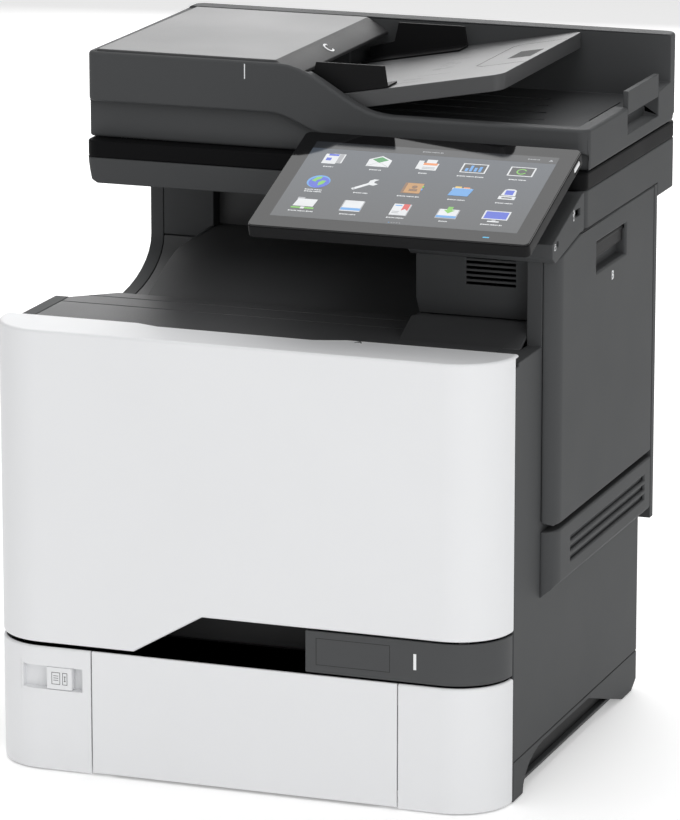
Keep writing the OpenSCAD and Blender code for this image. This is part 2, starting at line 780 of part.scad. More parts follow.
module feeder_body() {
    color(grey) place() difference() {
        union() {
            intersection() {
                along_y(feeder_front, depth - 2) polygon(concat(
                    [[side_x, feeder_low], [side_x, tray_rim_z]],
                    reversed(sweep_line(step_x0, step_run, feeder_top, tray_rim_z)),
                    [[feeder_left, feeder_top], [feeder_left, feeder_low]]));
                translate([0, 0, feeder_low]) linear_extrude(feeder_h)
                    round_plan(feeder_left, side_x, feeder_front, depth - 2, 10);
            }
            intersection() {
                box(feeder_left, side_x, feeder_back, depth - 2, feeder_low, feeder_top + 2);
                translate([0, 0, feeder_low]) linear_extrude(feeder_h + 9)
                    round_plan(feeder_left, side_x, feeder_front, depth - 2, 10);
            }
        }
        // recess along the lower front, behind the display
        along_y(feeder_front - 1, feeder_front + 8.5) polygon(concat(
            [[side_x - 1.2, feeder_low - 1], [side_x - 1.2, tray_rim_z - 24],
             [side_x - 6, tray_rim_z - 21]],
            reversed(sweep_line(step_x0 - 8, 60, feeder_top - 45, tray_rim_z - 21)),
            [[feeder_left - 1, feeder_top - 45], [feeder_left - 1, feeder_low - 1]]));
        box(feeder_left - 1, feeder_left + 0.4, 0, depth, 0, feeder_top - 45);
        // room for the feeding rollers, open at the top under cover C
        box(feeder_left + 6, -46, feeder_front + 8.5 + wall, feeder_back - wall,
            out_tray_z, feeder_top + 1);
        box(-60, step_x0 + 90, feeder_front + 12, feeder_back, out_tray_z, feeder_top + 5);
        box(feeder_left + 6, -46, feeder_front + 5, feeder_back - wall, feeder_top - 4.6,
            feeder_top + 5);
        box(-47, -12.5, feeder_front + 5, feeder_back - wall, feeder_top - 13.5,
            feeder_top + 5);
        // output tray
        box(-47, side_x - 13, feeder_front + 14, feeder_back, out_tray_z, feeder_top + 5);
        box(side_x - 36, side_x - 13 + tiny, stop_y0, stop_y1, out_tray_z - 0.5, feeder_top);
        box(side_x - 14, side_x + 1, stop_y0, stop_y1, out_tray_z - 10, feeder_top);
        // underside, which takes the pad and stays hollow above it
        box(-205, 185, 219, 450, feeder_low - 1, feeder_low + 7);
        mirrored() box(130, 170, 460, depth, feeder_low - 1, feeder_low + 22);
        box(-hw, side_x + 1, 466, depth, feeder_low - 1, feeder_low + 4.2);
        mirrored() rod_x(3 + run_fit, 120, 180, 471, feeder_low + 9);
        // room for the hinge end of cover C, then the bores of the cover, the input tray and the stop
        rod_y(6.9, feeder_front + 5, feeder_front + 12, cover_pin_x, cover_pin_z);
        rod_y(2.5 + run_fit, feeder_front + 1.5, feeder_back + 2, cover_pin_x, cover_pin_z);
        rod_y(2 + run_fit, feeder_front + 7, feeder_back + 7, in_pin_x, in_pin_z);
        rod_y(stop_pin_r + run_fit, stop_y0 - 5, stop_y1 + 5, stop_pin_x, stop_pin_z);
    }
    color(grey) place() for (i = [0:5])
        box(-20, 190 - 8 * i, 250 + 32 * i, 252 + 32 * i, out_tray_z - tiny, out_tray_z + 1);
}

cover_pin_x = feeder_left + 13;
cover_pin_z = feeder_top - 3.5;

module feeder_cover() {
    y0 = feeder_front + 5.3;
    y1 = feeder_back - wall - 0.3;
    color(grey) place() difference() {
        union() {
            along_y(y0, y1) polygon([[cover_pin_x - 6.3, cover_pin_z - 0.7],
                [cover_pin_x - 6.3, cover_pin_z], [cover_pin_x - 5.5, cover_pin_z + 3.2],
                [cover_pin_x - 3.3, cover_pin_z + 5.5], [-42, feeder_top + 2],
                [-22, feeder_top - 10], [-22, feeder_top - 13], [-27, feeder_top - 13],
                [-46.3, feeder_top - 1.5], [-46.3, feeder_top - 4.2]]);
            for (y = [feeder_front + 14, feeder_back - 12])
                box(cover_pin_x - 4.5, cover_pin_x + 4.5, y, y + 6, cover_pin_z - 4.5,
                    feeder_top - 4);
            rod_y(2.5, feeder_front + 2, feeder_front + 20, cover_pin_x, cover_pin_z);
            rod_y(2.5, feeder_back - 12, feeder_back + 1.5, cover_pin_x, cover_pin_z);
            for (y = [270, 380])
                box(-112, -72, y, y + 4, feeder_top - 26, feeder_top - 4);
        }
        rod_y(3 + run_fit, 260, 390, -92, feeder_top - 21);
    }
}

module feeder_roller() {
    color(rubber) place() union() {
        rod_y(3, 262, 392, -92, feeder_top - 21);
        rod_y(11, 306, 346, -92, feeder_top - 21);
    }
}

module tray_plan(e) {
    round_plan(in_x0 + e, in_x1 - e, feeder_front + 14.3 + e, feeder_back - 0.6 - e, 10);
}

module input_tray() {
    thick = 14.7;
    color(grey) place() difference() {
        intersection() {
            along_y(feeder_front, feeder_back) polygon([[in_x0, in_z(in_x0)],
                [in_x1, in_z(in_x1)], [in_x1, in_z(in_x1) - thick],
                [10, in_z(10) - thick], [in_x0, in_z(in_x0) - 5]]);
            translate([0, 0, out_tray_z]) linear_extrude(feeder_h) tray_plan(0);
        }
        intersection() {
            along_y(feeder_front, feeder_back) polygon([[12, in_z(12) - wall],
                [in_x1, in_z(in_x1) - wall], [in_x1, in_z(in_x1) - thick - 1],
                [12, in_z(12) - thick - 1]]);
            translate([0, 0, out_tray_z]) linear_extrude(feeder_h) tray_plan(wall);
        }
    }
    color(grey) place() {
        rod_y(2, feeder_front + 7.5, feeder_front + 30, in_pin_x, in_pin_z);
        rod_y(2, feeder_back - 20, feeder_back + 6.5, in_pin_x, in_pin_z);
    }
}

// Paper guide: an upright plate with a level top, on a thin foot along the tray's slope.
module paper_guide(y0, side) {
    x0 = -36;
    x1 = 56;
    top = feeder_top + 0.6;
    t = 2.5;
    yf = side > 0 ? y0 : y0 - 26;
    along_y(side > 0 ? y0 : y0 - t, side > 0 ? y0 + t : y0) polygon([[x0, in_z(x0) + 0.3],
        [x1 + 3, in_z(x1 + 3) + 0.3], [x1, top], [-8, top], [-12, feeder_top - 17],
        [x0, in_z(x0) + 12]]);
    along_y(yf, yf + 26) polygon([[x0, in_z(x0) + 0.3], [x1 + 3, in_z(x1 + 3) + 0.3],
        [x1 + 3, in_z(x1 + 3) + 2], [x0, in_z(x0) + 2]]);
}

module front_guide() {
    color(dark) place() paper_guide(feeder_front + 16, 1);
}

module rear_guide() {
    color(dark) place() paper_guide(feeder_back - 12, -1);
}

stop_pin_x = side_x - 4;
stop_pin_z = tray_rim_z - 5.5;
stop_pin_r = 1.5;

module paper_stop() {
    color(grey) place() union() {
        box(side_x - 5, side_x, stop_y0 + 0.6, stop_y1 - 0.6, stop_pin_z - 1.5,
            tray_rim_z + 14);
        rod_y(stop_pin_r, stop_y0 - 4.5, stop_y1 + 4.5, stop_pin_x, stop_pin_z);
    }
}

module platen_pad() {
    color(white) place() box(-200, 180, 224, 445, feeder_low - 0.1, feeder_low + 7);
}

module feeder_hinges() {
    color(steel) place() mirrored() union() {
        box(135, 165, 462, 477, rim_top, feeder_low + 14);
        rod_x(3, 124, 176, 471, feeder_low + 9);
    }
}

// ---- side door B ----

module door_b() {
    color(grey) place() difference() {
        union() {
            difference() {
                translate([0, 0, b_low]) linear_extrude(seam_z - b_low)
                    bulge_plan(b_back, 0);
                translate([0, 0, b_low + wall]) linear_extrude(seam_z - b_low - 2 * wall)
                    translate([-tiny, 0]) bulge_plan(b_back - wall, wall);
                box(hw - 1, hw + 0.4, 0, depth, 0, rim_low);
                // lower inner corner, which swings past the right cover
                along_y(0, depth) translate([b_pin_x, b_pin_z]) polygon([[-6, -1.5],
                    [-4.6, -1.5], [-3.5, -3.3], [0, -4.9], [5, -7.1], [5, -8], [-6, -8]]);
            }
            // cup behind the handle recess
            box(hw + 0.6, side_x - 1, grip_y0 - 2, grip_y1 + 2, grip_z0 - 2, grip_z1 + 2);
            for (y = [bulge_front + 31, b_back - 25]) {
                rod_y(4.6, y, y + 6, b_pin_x, b_pin_z);
                box(b_pin_x, side_x - 1, y, y + 6, b_pin_z - 2, b_pin_z + 4.6);
            }
        }
        box(hw + 3, side_x + 1, grip_y0, grip_y1, grip_z0, grip_z1);
        rod_y(latch_pin_r + run_fit, grip_y0 - 3, grip_y1 + 3, latch_x, latch_z);
        for (y = [bulge_front + 22, b_back - 29])
            rod_y(door_pin_r - 1 + run_fit, y, y + 20, b_pin_x, b_pin_z);
        box(b_pin_x - 6.5, b_pin_x + 6.2, bulge_front + 23.4, bulge_front + 29.6,
            b_low - 1, b_pin_z + 6.5);
        box(b_pin_x - 6.5, b_pin_x + 6.2, b_back - 16.6, b_back - 10.4, b_low - 1,
            b_pin_z + 6.5);
        // slanted top seam towards the front
        along_x(hw - 20, side_x + 1) polygon([[0, cap_z - 0.6], [117, cap_z - 0.6],
            [187, seam_z - 0.2], [187, seam_z + 5], [0, seam_z + 5]]);
    }
}

module door_b_liner() {
    color(dark) place() union() {
        box(hw + 0.6, hw + 2.6, window_y0 + 4, window_y1 - 4, window_z0 + 6, grip_z0 - 6);
        for (y = [window_y0 + 20:40:window_y1 - 20])
            box(hw - 5, hw + 0.6 + tiny, y, y + 2, window_z0 + 12, grip_z0 - 10);
        for (y = [window_y0 + 30, window_y1 - 30])
            box(hw + 2.6 - tiny, side_x - wall - 0.05, y, y + 8, 300, 308);
    }
}

module door_b_latch() {
    color(dark) place() union() {
        box(latch_x - 1.25, latch_x + 1.25, grip_y0 + 0.6, grip_y1 - 0.6, grip_z0 + 12,
            grip_z1 - 1.2);
        rod_y(latch_pin_r, grip_y0 - 1.8, grip_y1 + 1.8, latch_x, latch_z);
    }
}

// ---- engine ----

function cart_x(i) = cart_x0 + i * cart_pitch;

module toner_cartridge(i, tint) {
    half = cart_pitch / 2 - 3.5;
    x = cart_x(i);
    color(dark) place() union() {
        box(x - half, x + half, 62, 380, 284.3, cart_top);
        box(x - half + 4, x + half - 4, 50, 62 + tiny, 290, cart_top - 6);
        box(x - 5, x + 5, 44, 50 + tiny, 300, cart_top - 16);
    }
}

module toner_black() { toner_cartridge(0, 0); }
module toner_cyan() { toner_cartridge(1, 1); }
module toner_magenta() { toner_cartridge(2, 2); }
module toner_yellow() { toner_cartridge(3, 3); }

drum_y0 = 92;
drum_y1 = 372;
shaft_r = 4;

module drum_carrier() {
    x0 = cart_x(0) - cart_pitch / 2;
    x1 = cart_x(3) + cart_pitch / 2;
    color(dark) place() difference() {
        union() {
            box(x0, x1, 66, 388, 281, 284);
            for (y = [82, drum_y1 + 4])
                box(x0, x1, y, y + 4, drum_z - 8, 281 + tiny);
            for (x = [x0, x1 - 3])
                box(x, x + 3, 66, 388, drum_z - 8, 281 + tiny);
            // legs on the frame's middle plate, outside the belt
            for (x = [x0, x1 - 3])
                box(x, x + 3, 66, 76, mid_z + frame_t, drum_z - 8 + tiny);
            for (x = [x0, x1 - 3])
                box(x, x + 3, 392 - 12, 388, mid_z + frame_t, drum_z - 8 + tiny);
        }
        for (i = [0:3])
            rod_y(shaft_r + run_fit, 70, 400, cart_x(i), drum_z);
    }
}

module drum(i) {
    color([0.15, 0.35, 0.32]) place() union() {
        rod_y(drum_r, drum_y0, drum_y1, cart_x(i), drum_z);
        rod_y(shaft_r, 78, 384, cart_x(i), drum_z);
        rod_y(drum_r - 4, 386, 390, cart_x(i), drum_z);
        rod_y(shaft_r, 383, 387, cart_x(i), drum_z);
    }
}

module drum_black() { drum(0); }
module drum_cyan() { drum(1); }
module drum_magenta() { drum(2); }
module drum_yellow() { drum(3); }

module belt_loop(r) {
    translate([belt_x0, belt_z]) circle(r);
    translate([belt_x1, belt_z]) circle(r);
    translate([belt_x0, belt_z - r]) square([belt_x1 - belt_x0, 2 * r]);
}

module transfer_belt() {
    color(rubber) place() union() {
        along_y(drum_y0 + 4, drum_y1 - 4) difference() {
            belt_loop(belt_r);
            belt_loop(belt_r - belt_t);
        }
        // cradle inside the loop: idler end, deck and two end plates with bores
        along_y(88.02, drum_y1 + 1.98) difference() {
            translate([belt_x0, belt_z - belt_r + belt_t - tiny])
                square([belt_x1 - belt_x0 - 40, 2 * (belt_r - belt_t) + 2 * tiny]);
            translate([belt_x0 + 3, belt_z - belt_r + 5])
                square([belt_x1 - belt_x0 - 46, 2 * (belt_r - 5)]);
        }
    }
}

module belt_roller() {
    color(steel) place() union() {
        rod_y(belt_roller_r, drum_y0 + 4, drum_y1 - 4, belt_x1, belt_z);
        rod_y(shaft_r, 82, 386, belt_x1, belt_z);
    }
}

module laser_unit() {
    color(dark) place() union() {
        box(belt_x0 - 8, belt_x1 + 8, 88, 374, mid_z + frame_t + 24, 196);
        for (x = [belt_x0, belt_x1 - 12], y = [100, 350])
            box(x, x + 12, y, y + 12, mid_z + frame_t, mid_z + frame_t + 24 + tiny);
        // end plates that carry the belt cradle and its roller
        difference() {
            for (y = [84, drum_y1 + 2])
                box(belt_x0 - 8, belt_x1 + 8, y, y + 4 + tiny, 180, belt_z + 8);
            rod_y(shaft_r + run_fit, 80, 400, belt_x1, belt_z);
        }
    }
}

module fuser_housing() {
    x0 = fuser_x - fuser_r - 6;
    x1 = fuser_x + 3 * fuser_r + 6;
    color(dark) place() difference() {
        union() {
            for (y = [84, frame_back - 12])
                box(x0, x1, y, y + 4, fuser_z - 20, fuser_z + 20);
            box(x0, x0 + 3, 84, frame_back - 8, fuser_z - 20, fuser_z + 20);
            box(x0, x0 + 6, 84, 90, 140, fuser_z - 20 + tiny);
            box(x0, x0 + 6, frame_back - 14, frame_back - frame_t, 140, fuser_z + 20);
            box(x0, x0 + 6, 84, frame_back - frame_t, mid_z + frame_t, 141);
        }
        rod_y(shaft_r + run_fit, 80, frame_back - 6, fuser_x, fuser_z);
        rod_y(shaft_r + run_fit, 80, frame_back - 6, fuser_x + 2 * fuser_r + nip, fuser_z);
    }
}

module roller_pair_member(r, x, z) {
    rod_y(r, 92, frame_back - 16, x, z);
    rod_y(shaft_r, 82, frame_back - 7, x, z);
}

module fuser_roller() {
    color([0.5, 0.25, 0.15]) place() roller_pair_member(fuser_r, fuser_x, fuser_z);
}

module pressure_roller() {
    color(rubber) place()
        roller_pair_member(fuser_r, fuser_x + 2 * fuser_r + nip, fuser_z);
}

module pick_roller() {
    color(rubber) place() union() {
        for (y = [130, 270])
            rod_y(pick_r, y, y + 22, pick_x, pick_z);
        rod_y(roller_pin_r, 104, frame_back - 0.5, pick_x, pick_z);
    }
}

module exit_roller() {
    color(rubber) place() union() {
        rod_y(roller_pin_r, 150, body_depth - 9, exit_x, exit_z);
        for (y = [190, 250, 310, 360])
            rod_y(7, y, y + 16, exit_x, exit_z);
    }
}

module power_supply() {
    color(steel) place() box(-frame_x + 6, -frame_x + 24, 96, 380, mid_z + frame_t, 210);
}

module controller_board() {
    color([0.1, 0.35, 0.2]) place() union() {
        box(-40, 150, frame_back - frame_t - 4, frame_back - frame_t - 2.4, 130, 290);
        for (x = [-30, 140], z = [136, 280])
            rod_y(3, frame_back - frame_t - 2.4 - tiny, frame_back - frame_t, x, z);
        for (x = [0, 60, 120])
            box(x, x + 26, frame_back - frame_t - 9, frame_back - frame_t - 4 + tiny, 200, 226);
    }
}

module fan_frame() {
    color(dark) place() difference() {
        union() {
            difference() {
                box(-172, -108, frame_back - 22, frame_back - frame_t, 268, 332);
                rod_y(29, frame_back - 23, frame_back, -140, 300);
            }
            box(-171, -109, frame_back - frame_t - 3, frame_back - frame_t, 298, 302);
            rod_y(8, frame_back - 5, frame_back - frame_t, -140, 300);
            rod_y(2, frame_back - 18, frame_back - frame_t, -140, 300);
        }
    }
}

module fan_rotor() {
    color(dark) place() difference() {
        union() {
            rod_y(10, frame_back - 20, frame_back - 8, -140, 300);
            for (a = [0:45:315])
                translate([-140, frame_back - 18, 300]) rotate([0, a, 0])
                    translate([8, 0, -1]) cube([19, 9, 2]);
        }
        rod_y(2 + run_fit, frame_back - 21, frame_back, -140, 300);
    }
}

module connectors() {
    color(rubber) place() for (x = [60, 110, 160])
        difference() {
            box(x + 0.3, x + 29.7, frame_back - frame_t, body_depth - 0.4, 150.3, 184.7);
            box(x + 5, x + 25, frame_back + 1.4, body_depth, 156, 179);
        }
}

base_pan();
rubber_feet();
base_frame();
left_cover();
right_cover();
rear_cover();
vent_panel();
front_band();
inner_front_panel();
deck_cover();
left_pillar();
grille_column();
display_console();
scanner_base();
scanner_rim();
platen_glass();
scan_carriage();
feeder_body();
feeder_cover();
input_tray();
front_guide();
rear_guide();
paper_stop();
platen_pad();
feeder_hinges();
feeder_roller();
display_housing();
display_glass();
power_button();
door_a();
door_b();
door_b_liner();
door_b_latch();
tray_front();
tray_body();
manual_feed_door();
tray_latch();
lift_plate();
toner_black();
toner_cyan();
toner_magenta();
toner_yellow();
drum_carrier();
drum_black();
drum_cyan();
drum_magenta();
drum_yellow();
transfer_belt();
belt_roller();
laser_unit();
fuser_housing();
fuser_roller();
pressure_roller();
pick_roller();
exit_roller();
power_supply();
controller_board();
fan_frame();
fan_rotor();
connectors();
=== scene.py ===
import bpy
import bmesh
import json
import math
from mathutils import Matrix, Vector
from mathutils.bvhtree import BVHTree


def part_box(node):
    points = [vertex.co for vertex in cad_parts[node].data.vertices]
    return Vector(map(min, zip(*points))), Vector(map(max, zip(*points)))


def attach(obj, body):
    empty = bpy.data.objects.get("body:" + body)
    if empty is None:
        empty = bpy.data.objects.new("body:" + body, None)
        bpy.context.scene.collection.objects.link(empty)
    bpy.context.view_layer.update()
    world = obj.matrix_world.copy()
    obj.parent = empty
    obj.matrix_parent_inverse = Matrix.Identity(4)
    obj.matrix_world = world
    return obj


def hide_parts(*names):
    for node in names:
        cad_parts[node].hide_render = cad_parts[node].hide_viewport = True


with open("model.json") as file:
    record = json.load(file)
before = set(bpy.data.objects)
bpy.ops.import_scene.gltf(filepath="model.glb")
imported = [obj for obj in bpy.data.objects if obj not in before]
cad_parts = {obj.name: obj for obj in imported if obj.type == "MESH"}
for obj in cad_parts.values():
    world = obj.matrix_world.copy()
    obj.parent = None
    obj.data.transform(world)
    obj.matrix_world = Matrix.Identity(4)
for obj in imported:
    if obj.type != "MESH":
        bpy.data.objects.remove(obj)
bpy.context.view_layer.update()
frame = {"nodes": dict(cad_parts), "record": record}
mm = 0.001
print("frame loaded")


# shader wiring: values are written as plain expressions

class Wire:  # one shader value
    def __init__(self, finish, socket):
        self.finish = finish
        self.socket = socket

    def maths(self, operation, first, second):
        return self.finish.node("ShaderNodeMath", {"operation": operation}, {0: first, 1: second})

    def __add__(self, other):
        return self.maths("ADD", self, other)

    def __radd__(self, other):
        return self.maths("ADD", other, self)

    def __sub__(self, other):
        return self.maths("SUBTRACT", self, other)

    def __rsub__(self, other):
        return self.maths("SUBTRACT", other, self)

    def __mul__(self, other):
        return self.maths("MULTIPLY", self, other)

    def __rmul__(self, other):
        return self.maths("MULTIPLY", other, self)


class Finish:  # one material and the nodes it is made of
    def __init__(self, name):
        self.material = bpy.data.materials.new(name)
        self.material.use_nodes = True
        self.tree = self.material.node_tree
        self.tree.nodes.clear()

    def node(self, kind, settings=None, values=None, out=0):
        made = self.tree.nodes.new(kind)
        for key, value in (settings or {}).items():
            if key == "stops":
                ramp = made.color_ramp.elements
                while len(ramp) < len(value):
                    ramp.new(0.5)
                for stop, (place, colour) in zip(ramp, value):
                    stop.position = place
                    stop.color = (*colour, 1)
            else:
                setattr(made, key, value)
        for key, value in (values or {}).items():
            if isinstance(value, Wire):
                self.tree.links.new(value.socket, made.inputs[key])
            else:
                made.inputs[key].default_value = value
        return Wire(self, made.outputs[out])

    def space(self, scale=(1, 1, 1), turn=(0, 0, 0)):  # Object coordinates, metres
        place = self.node("ShaderNodeTexCoord", out="Object")
        return self.node("ShaderNodeMapping", {}, {0: place, "Rotation": turn, "Scale": scale})

    def noise(self, place, scale, detail=2.0, rough=0.5):
        return self.node("ShaderNodeTexNoise", {},
                         {"Vector": place, "Scale": scale, "Detail": detail, "Roughness": rough})

    def blend(self, amount, first, second):
        return self.node("ShaderNodeMix", {"data_type": "RGBA"}, {0: amount, 6: first, 7: second}, out=2)

    def ramp(self, amount, stops):
        return self.node("ShaderNodeValToRGB", {"stops": stops}, {0: amount})

    def bump(self, height, depth, strength=1.0):
        return self.node("ShaderNodeBump", {}, {"Height": height, "Distance": depth, "Strength": strength})

    def surface(self, values):
        shader = self.node("ShaderNodeBsdfPrincipled", {}, values)
        end = self.tree.nodes.new("ShaderNodeOutputMaterial")
        self.tree.links.new(shader.socket, end.inputs["Surface"])
        return self.material


def tone(colour, factor=1.0):
    return (colour[0] * factor, colour[1] * factor, colour[2] * factor, 1)


speckle = {"size": 0.45, "cloud": 0.7, "speck": 0.3}  # specks against the grain, and each one's share


def mouldedPlastic(name, look):  # spark-etched moulding: fine grain, faint flow clouds and specks
    paint = Finish(name)
    place = paint.space()
    grain = paint.noise(place, look["grain"], 3.0, 0.6)
    cloud = paint.noise(place, look["cloud"], 2.0, 0.5)
    speck = paint.noise(place, look["grain"] * speckle["size"], 1.0, 0.5)
    shade = cloud * speckle["cloud"] + speck * speckle["speck"]
    colour = paint.blend(shade, tone(look["colour"], 1 - look["spread"]),
                         tone(look["colour"], 1 + look["spread"]))
    rough = look["rough"] + (cloud - 0.5) * look["roughSpread"] + (grain - 0.5) * look["roughSpread"]
    return paint.surface({
        "Base Color": colour,
        "Roughness": rough,
        "Normal": paint.bump(grain, look["depth"], look["strength"]),
        "IOR": 1.5,
        "Specular IOR Level": look.get("specular", 0.5),
    })


plasticLooks = {
    "whitePlastic": {"colour": (0.79, 0.796, 0.808), "grain": 1500, "cloud": 9, "spread": 0.02, "rough": 0.42,
                     "roughSpread": 0.10, "depth": 0.00003, "strength": 0.25, "specular": 0.35},
    "greyPlastic": {"colour": (0.064, 0.066, 0.068), "grain": 1300, "cloud": 11, "spread": 0.07,
                    "rough": 0.58,
                    "roughSpread": 0.12, "depth": 0.00005, "strength": 0.35, "specular": 0.12},
    "greyTop": {"colour": (0.066, 0.067, 0.069), "grain": 1300, "cloud": 11, "spread": 0.07, "rough": 0.44,
                "roughSpread": 0.10, "depth": 0.00005, "strength": 0.35, "specular": 0.5},
    "greyTexture": {"colour": (0.066, 0.067, 0.069), "grain": 800, "cloud": 14, "spread": 0.09, "rough": 0.5,
                    "roughSpread": 0.12, "depth": 0.00009, "strength": 0.45, "specular": 0.4},
    "blackPlastic": {"colour": (0.0075, 0.0075, 0.008), "grain": 1200, "cloud": 16, "spread": 0.12,
                     "rough": 0.5,
                     "roughSpread": 0.12, "depth": 0.00004, "strength": 0.35, "specular": 0.12},
    "rimPlastic": {"colour": (0.0065, 0.0065, 0.007), "grain": 1200, "cloud": 16, "spread": 0.12,
                   "rough": 0.5,
                   "roughSpread": 0.12, "depth": 0.00004, "strength": 0.35, "specular": 0.04},
    "innerPlastic": {"colour": (0.028, 0.028, 0.029), "grain": 1100, "cloud": 16, "spread": 0.12,
                     "rough": 0.55,
                     "roughSpread": 0.12, "depth": 0.00004, "strength": 0.35, "specular": 0.2},
    "blackGloss": {"colour": (0.012, 0.012, 0.013), "grain": 900, "cloud": 20, "spread": 0.15, "rough": 0.24,
                   "roughSpread": 0.06, "depth": 0.00001, "strength": 0.2},
    "bandPlastic": {"colour": (0.068, 0.070, 0.072), "grain": 1300, "cloud": 12, "spread": 0.06, "rough": 0.5,
                    "roughSpread": 0.10, "depth": 0.00003, "strength": 0.3, "specular": 0.2},
    "blackRubber": {"colour": (0.018, 0.018, 0.019), "grain": 650, "cloud": 30, "spread": 0.2, "rough": 0.75,
                    "roughSpread": 0.15, "depth": 0.00012, "strength": 0.6, "specular": 0.2},
    "whiteFoam": {"colour": (0.86, 0.86, 0.85), "grain": 420, "cloud": 25, "spread": 0.03, "rough": 0.85,
                  "roughSpread": 0.1, "depth": 0.0002, "strength": 0.6, "specular": 0.25},
    "drumCoat": {"colour": (0.07, 0.33, 0.29), "grain": 300, "cloud": 18, "spread": 0.08, "rough": 0.16,
                 "roughSpread": 0.05, "depth": 0.000005, "strength": 0.2},
    "fuserFilm": {"colour": (0.34, 0.15, 0.07), "grain": 500, "cloud": 18, "spread": 0.12, "rough": 0.3,
                  "roughSpread": 0.08, "depth": 0.00001, "strength": 0.2},
    "letterWhite": {"colour": (0.84, 0.85, 0.86), "grain": 2000, "cloud": 60, "spread": 0.03, "rough": 0.5,
                    "roughSpread": 0.05, "depth": 0.00001, "strength": 0.2},
    "letterGrey": {"colour": (0.07, 0.07, 0.075), "grain": 2000, "cloud": 60, "spread": 0.05, "rough": 0.5,
                   "roughSpread": 0.05, "depth": 0.00001, "strength": 0.2},
}
finishes = {name: mouldedPlastic(name, look) for name, look in plasticLooks.items()}


def zincSheet():  # zinc-plated steel: rolled streaks and a faint spangle
    look = {"colour": (0.58, 0.59, 0.60), "streak": (900, 14, 14), "spangle": 70.0, "rough": 0.33,
            "spread": 0.18}
    paint = Finish("zincSheet")
    streaks = paint.noise(paint.space(look["streak"]), 1.0, 3.0, 0.6)
    spangle = paint.node("ShaderNodeTexVoronoi", {}, {"Vector": paint.space(), "Scale": look["spangle"]},
                         out="Distance")
    shade = streaks * 0.6 + spangle * 0.4
    return paint.surface({
        "Base Color": paint.blend(shade, tone(look["colour"], 0.85), tone(look["colour"], 1.12)),
        "Metallic": 1.0,
        "Roughness": look["rough"] + (streaks - 0.5) * look["spread"],
        "Normal": paint.bump(streaks, 0.00002, 0.3),
    })


def clearGlass():  # flat platen glass with faint smears
    look = {"colour": (0.80, 0.88, 0.86, 1), "rough": 0.03, "spread": 0.04}
    paint = Finish("clearGlass")
    smear = paint.noise(paint.space((5, 18, 5)), 1.0, 3.0, 0.6)
    return paint.surface({
        "Base Color": paint.blend(smear, tone(look["colour"], 0.96), look["colour"]),
        "Roughness": look["rough"] + smear * look["spread"],
        "Transmission Weight": 0.9,
        "IOR": 1.5,
    })


def displayGlass():  # glossy bezel of the touch panel
    look = {"colour": (0.006, 0.006, 0.0065), "rough": 0.05, "spread": 0.03, "ripple": 0.000004}
    paint = Finish("displayGlass")
    smear = paint.noise(paint.space((22, 34, 22)), 1.0, 4.0, 0.6)
    fine = paint.noise(paint.space(), 900.0, 2.0, 0.5)
    return paint.surface({
        "Base Color": paint.blend(smear, tone(look["colour"], 0.93), tone(look["colour"], 1.06)),
        "Roughness": look["rough"] + (smear - 0.5) * look["spread"],
        "Normal": paint.bump(fine, look["ripple"], 0.15),
        "Specular IOR Level": 0.3,
    })


def boardGreen():  # solder mask with copper tracks under it
    look = {"mask": (0.02, 0.16, 0.07, 1), "track": (0.05, 0.27, 0.12, 1), "scale": 60.0, "gap": 0.03,
            "rough": 0.32, "spread": 0.12}
    paint = Finish("boardGreen")
    tracks = paint.node("ShaderNodeTexBrick", {"offset": 0.37, "squash": 0.8},
                        {"Vector": paint.space((1, 1, 1), (math.pi / 2, 0, 0)), "Scale": look["scale"],
                         "Mortar Size": look["gap"],
                         "Color1": look["mask"], "Color2": tone(look["mask"], 1.15), "Mortar": look["track"]})
    cloud = paint.noise(paint.space(), 40.0)
    return paint.surface({
        "Base Color": tracks,
        "Roughness": look["rough"] + cloud * look["spread"],
        "Normal": paint.bump(cloud, 0.00002, 0.3),
    })


finishes["zincSheet"] = zincSheet()
finishes["clearGlass"] = clearGlass()
finishes["displayGlass"] = displayGlass()
finishes["boardGreen"] = boardGreen()
print("finishes made")


# helpers that place finished pieces

def newPiece(name, bm, body, materials, smooth=0.6):  # a bmesh becomes a piece on a body
    mesh = bpy.data.meshes.new(name)
    bm.to_mesh(mesh)
    bm.free()
    piece = bpy.data.objects.new(name, mesh)
    bpy.context.scene.collection.objects.link(piece)
    for material in materials:
        mesh.materials.append(finishes[material])
    mesh.shade_smooth()
    mesh.set_sharp_from_angle(angle=smooth)
    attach(piece, body)
    return piece


bodyOf = {}
for bodyName, members in frame["record"]["behaviour"]["bodies"].items():
    for member in members:
        bodyOf[member] = bodyName


rounding = {  # what counts as an edge, and how it is rounded
    "merge": 0.002, "flat": 0.02, "sharp": 0.62, "rimSharp": 0.5, "endDepth": 1.5, "steps": 2, "rimSteps": 4,
    "thrown": 0.6, "evenness": 80,
}


def onRim(edge, low, high, rim):  # is this an outer edge that the mould rounds more
    if len(edge.link_faces) != 2 or edge.calc_face_angle_signed(0) < rounding["rimSharp"]:
        return False
    place = (edge.verts[0].co + edge.verts[1].co) / 2
    if rim == "ends" and min(place.z - low.z, high.z - place.z) > rounding["endDepth"] * mm:
        return False
    middle = place - (low + high) / 2
    for outer, other in (edge.link_faces, reversed(edge.link_faces)):
        if rim == "side" and outer.normal.x > 0.9 and middle.x > 0:
            return True
        level = abs(outer.normal.z) < 0.35 and abs(other.normal.z) > 0.5
        if rim in ("plan", "ends") and level and outer.normal.xy.dot(middle.xy) > 0:
            return True
    return False


def roundOff(bm, edges, width, segments):
    bmesh.ops.bevel(bm, geom=edges, offset=width * mm, offset_type="OFFSET", affect="EDGES",
                    segments=segments,
                    profile=0.5, material=-1, clamp_overlap=False)


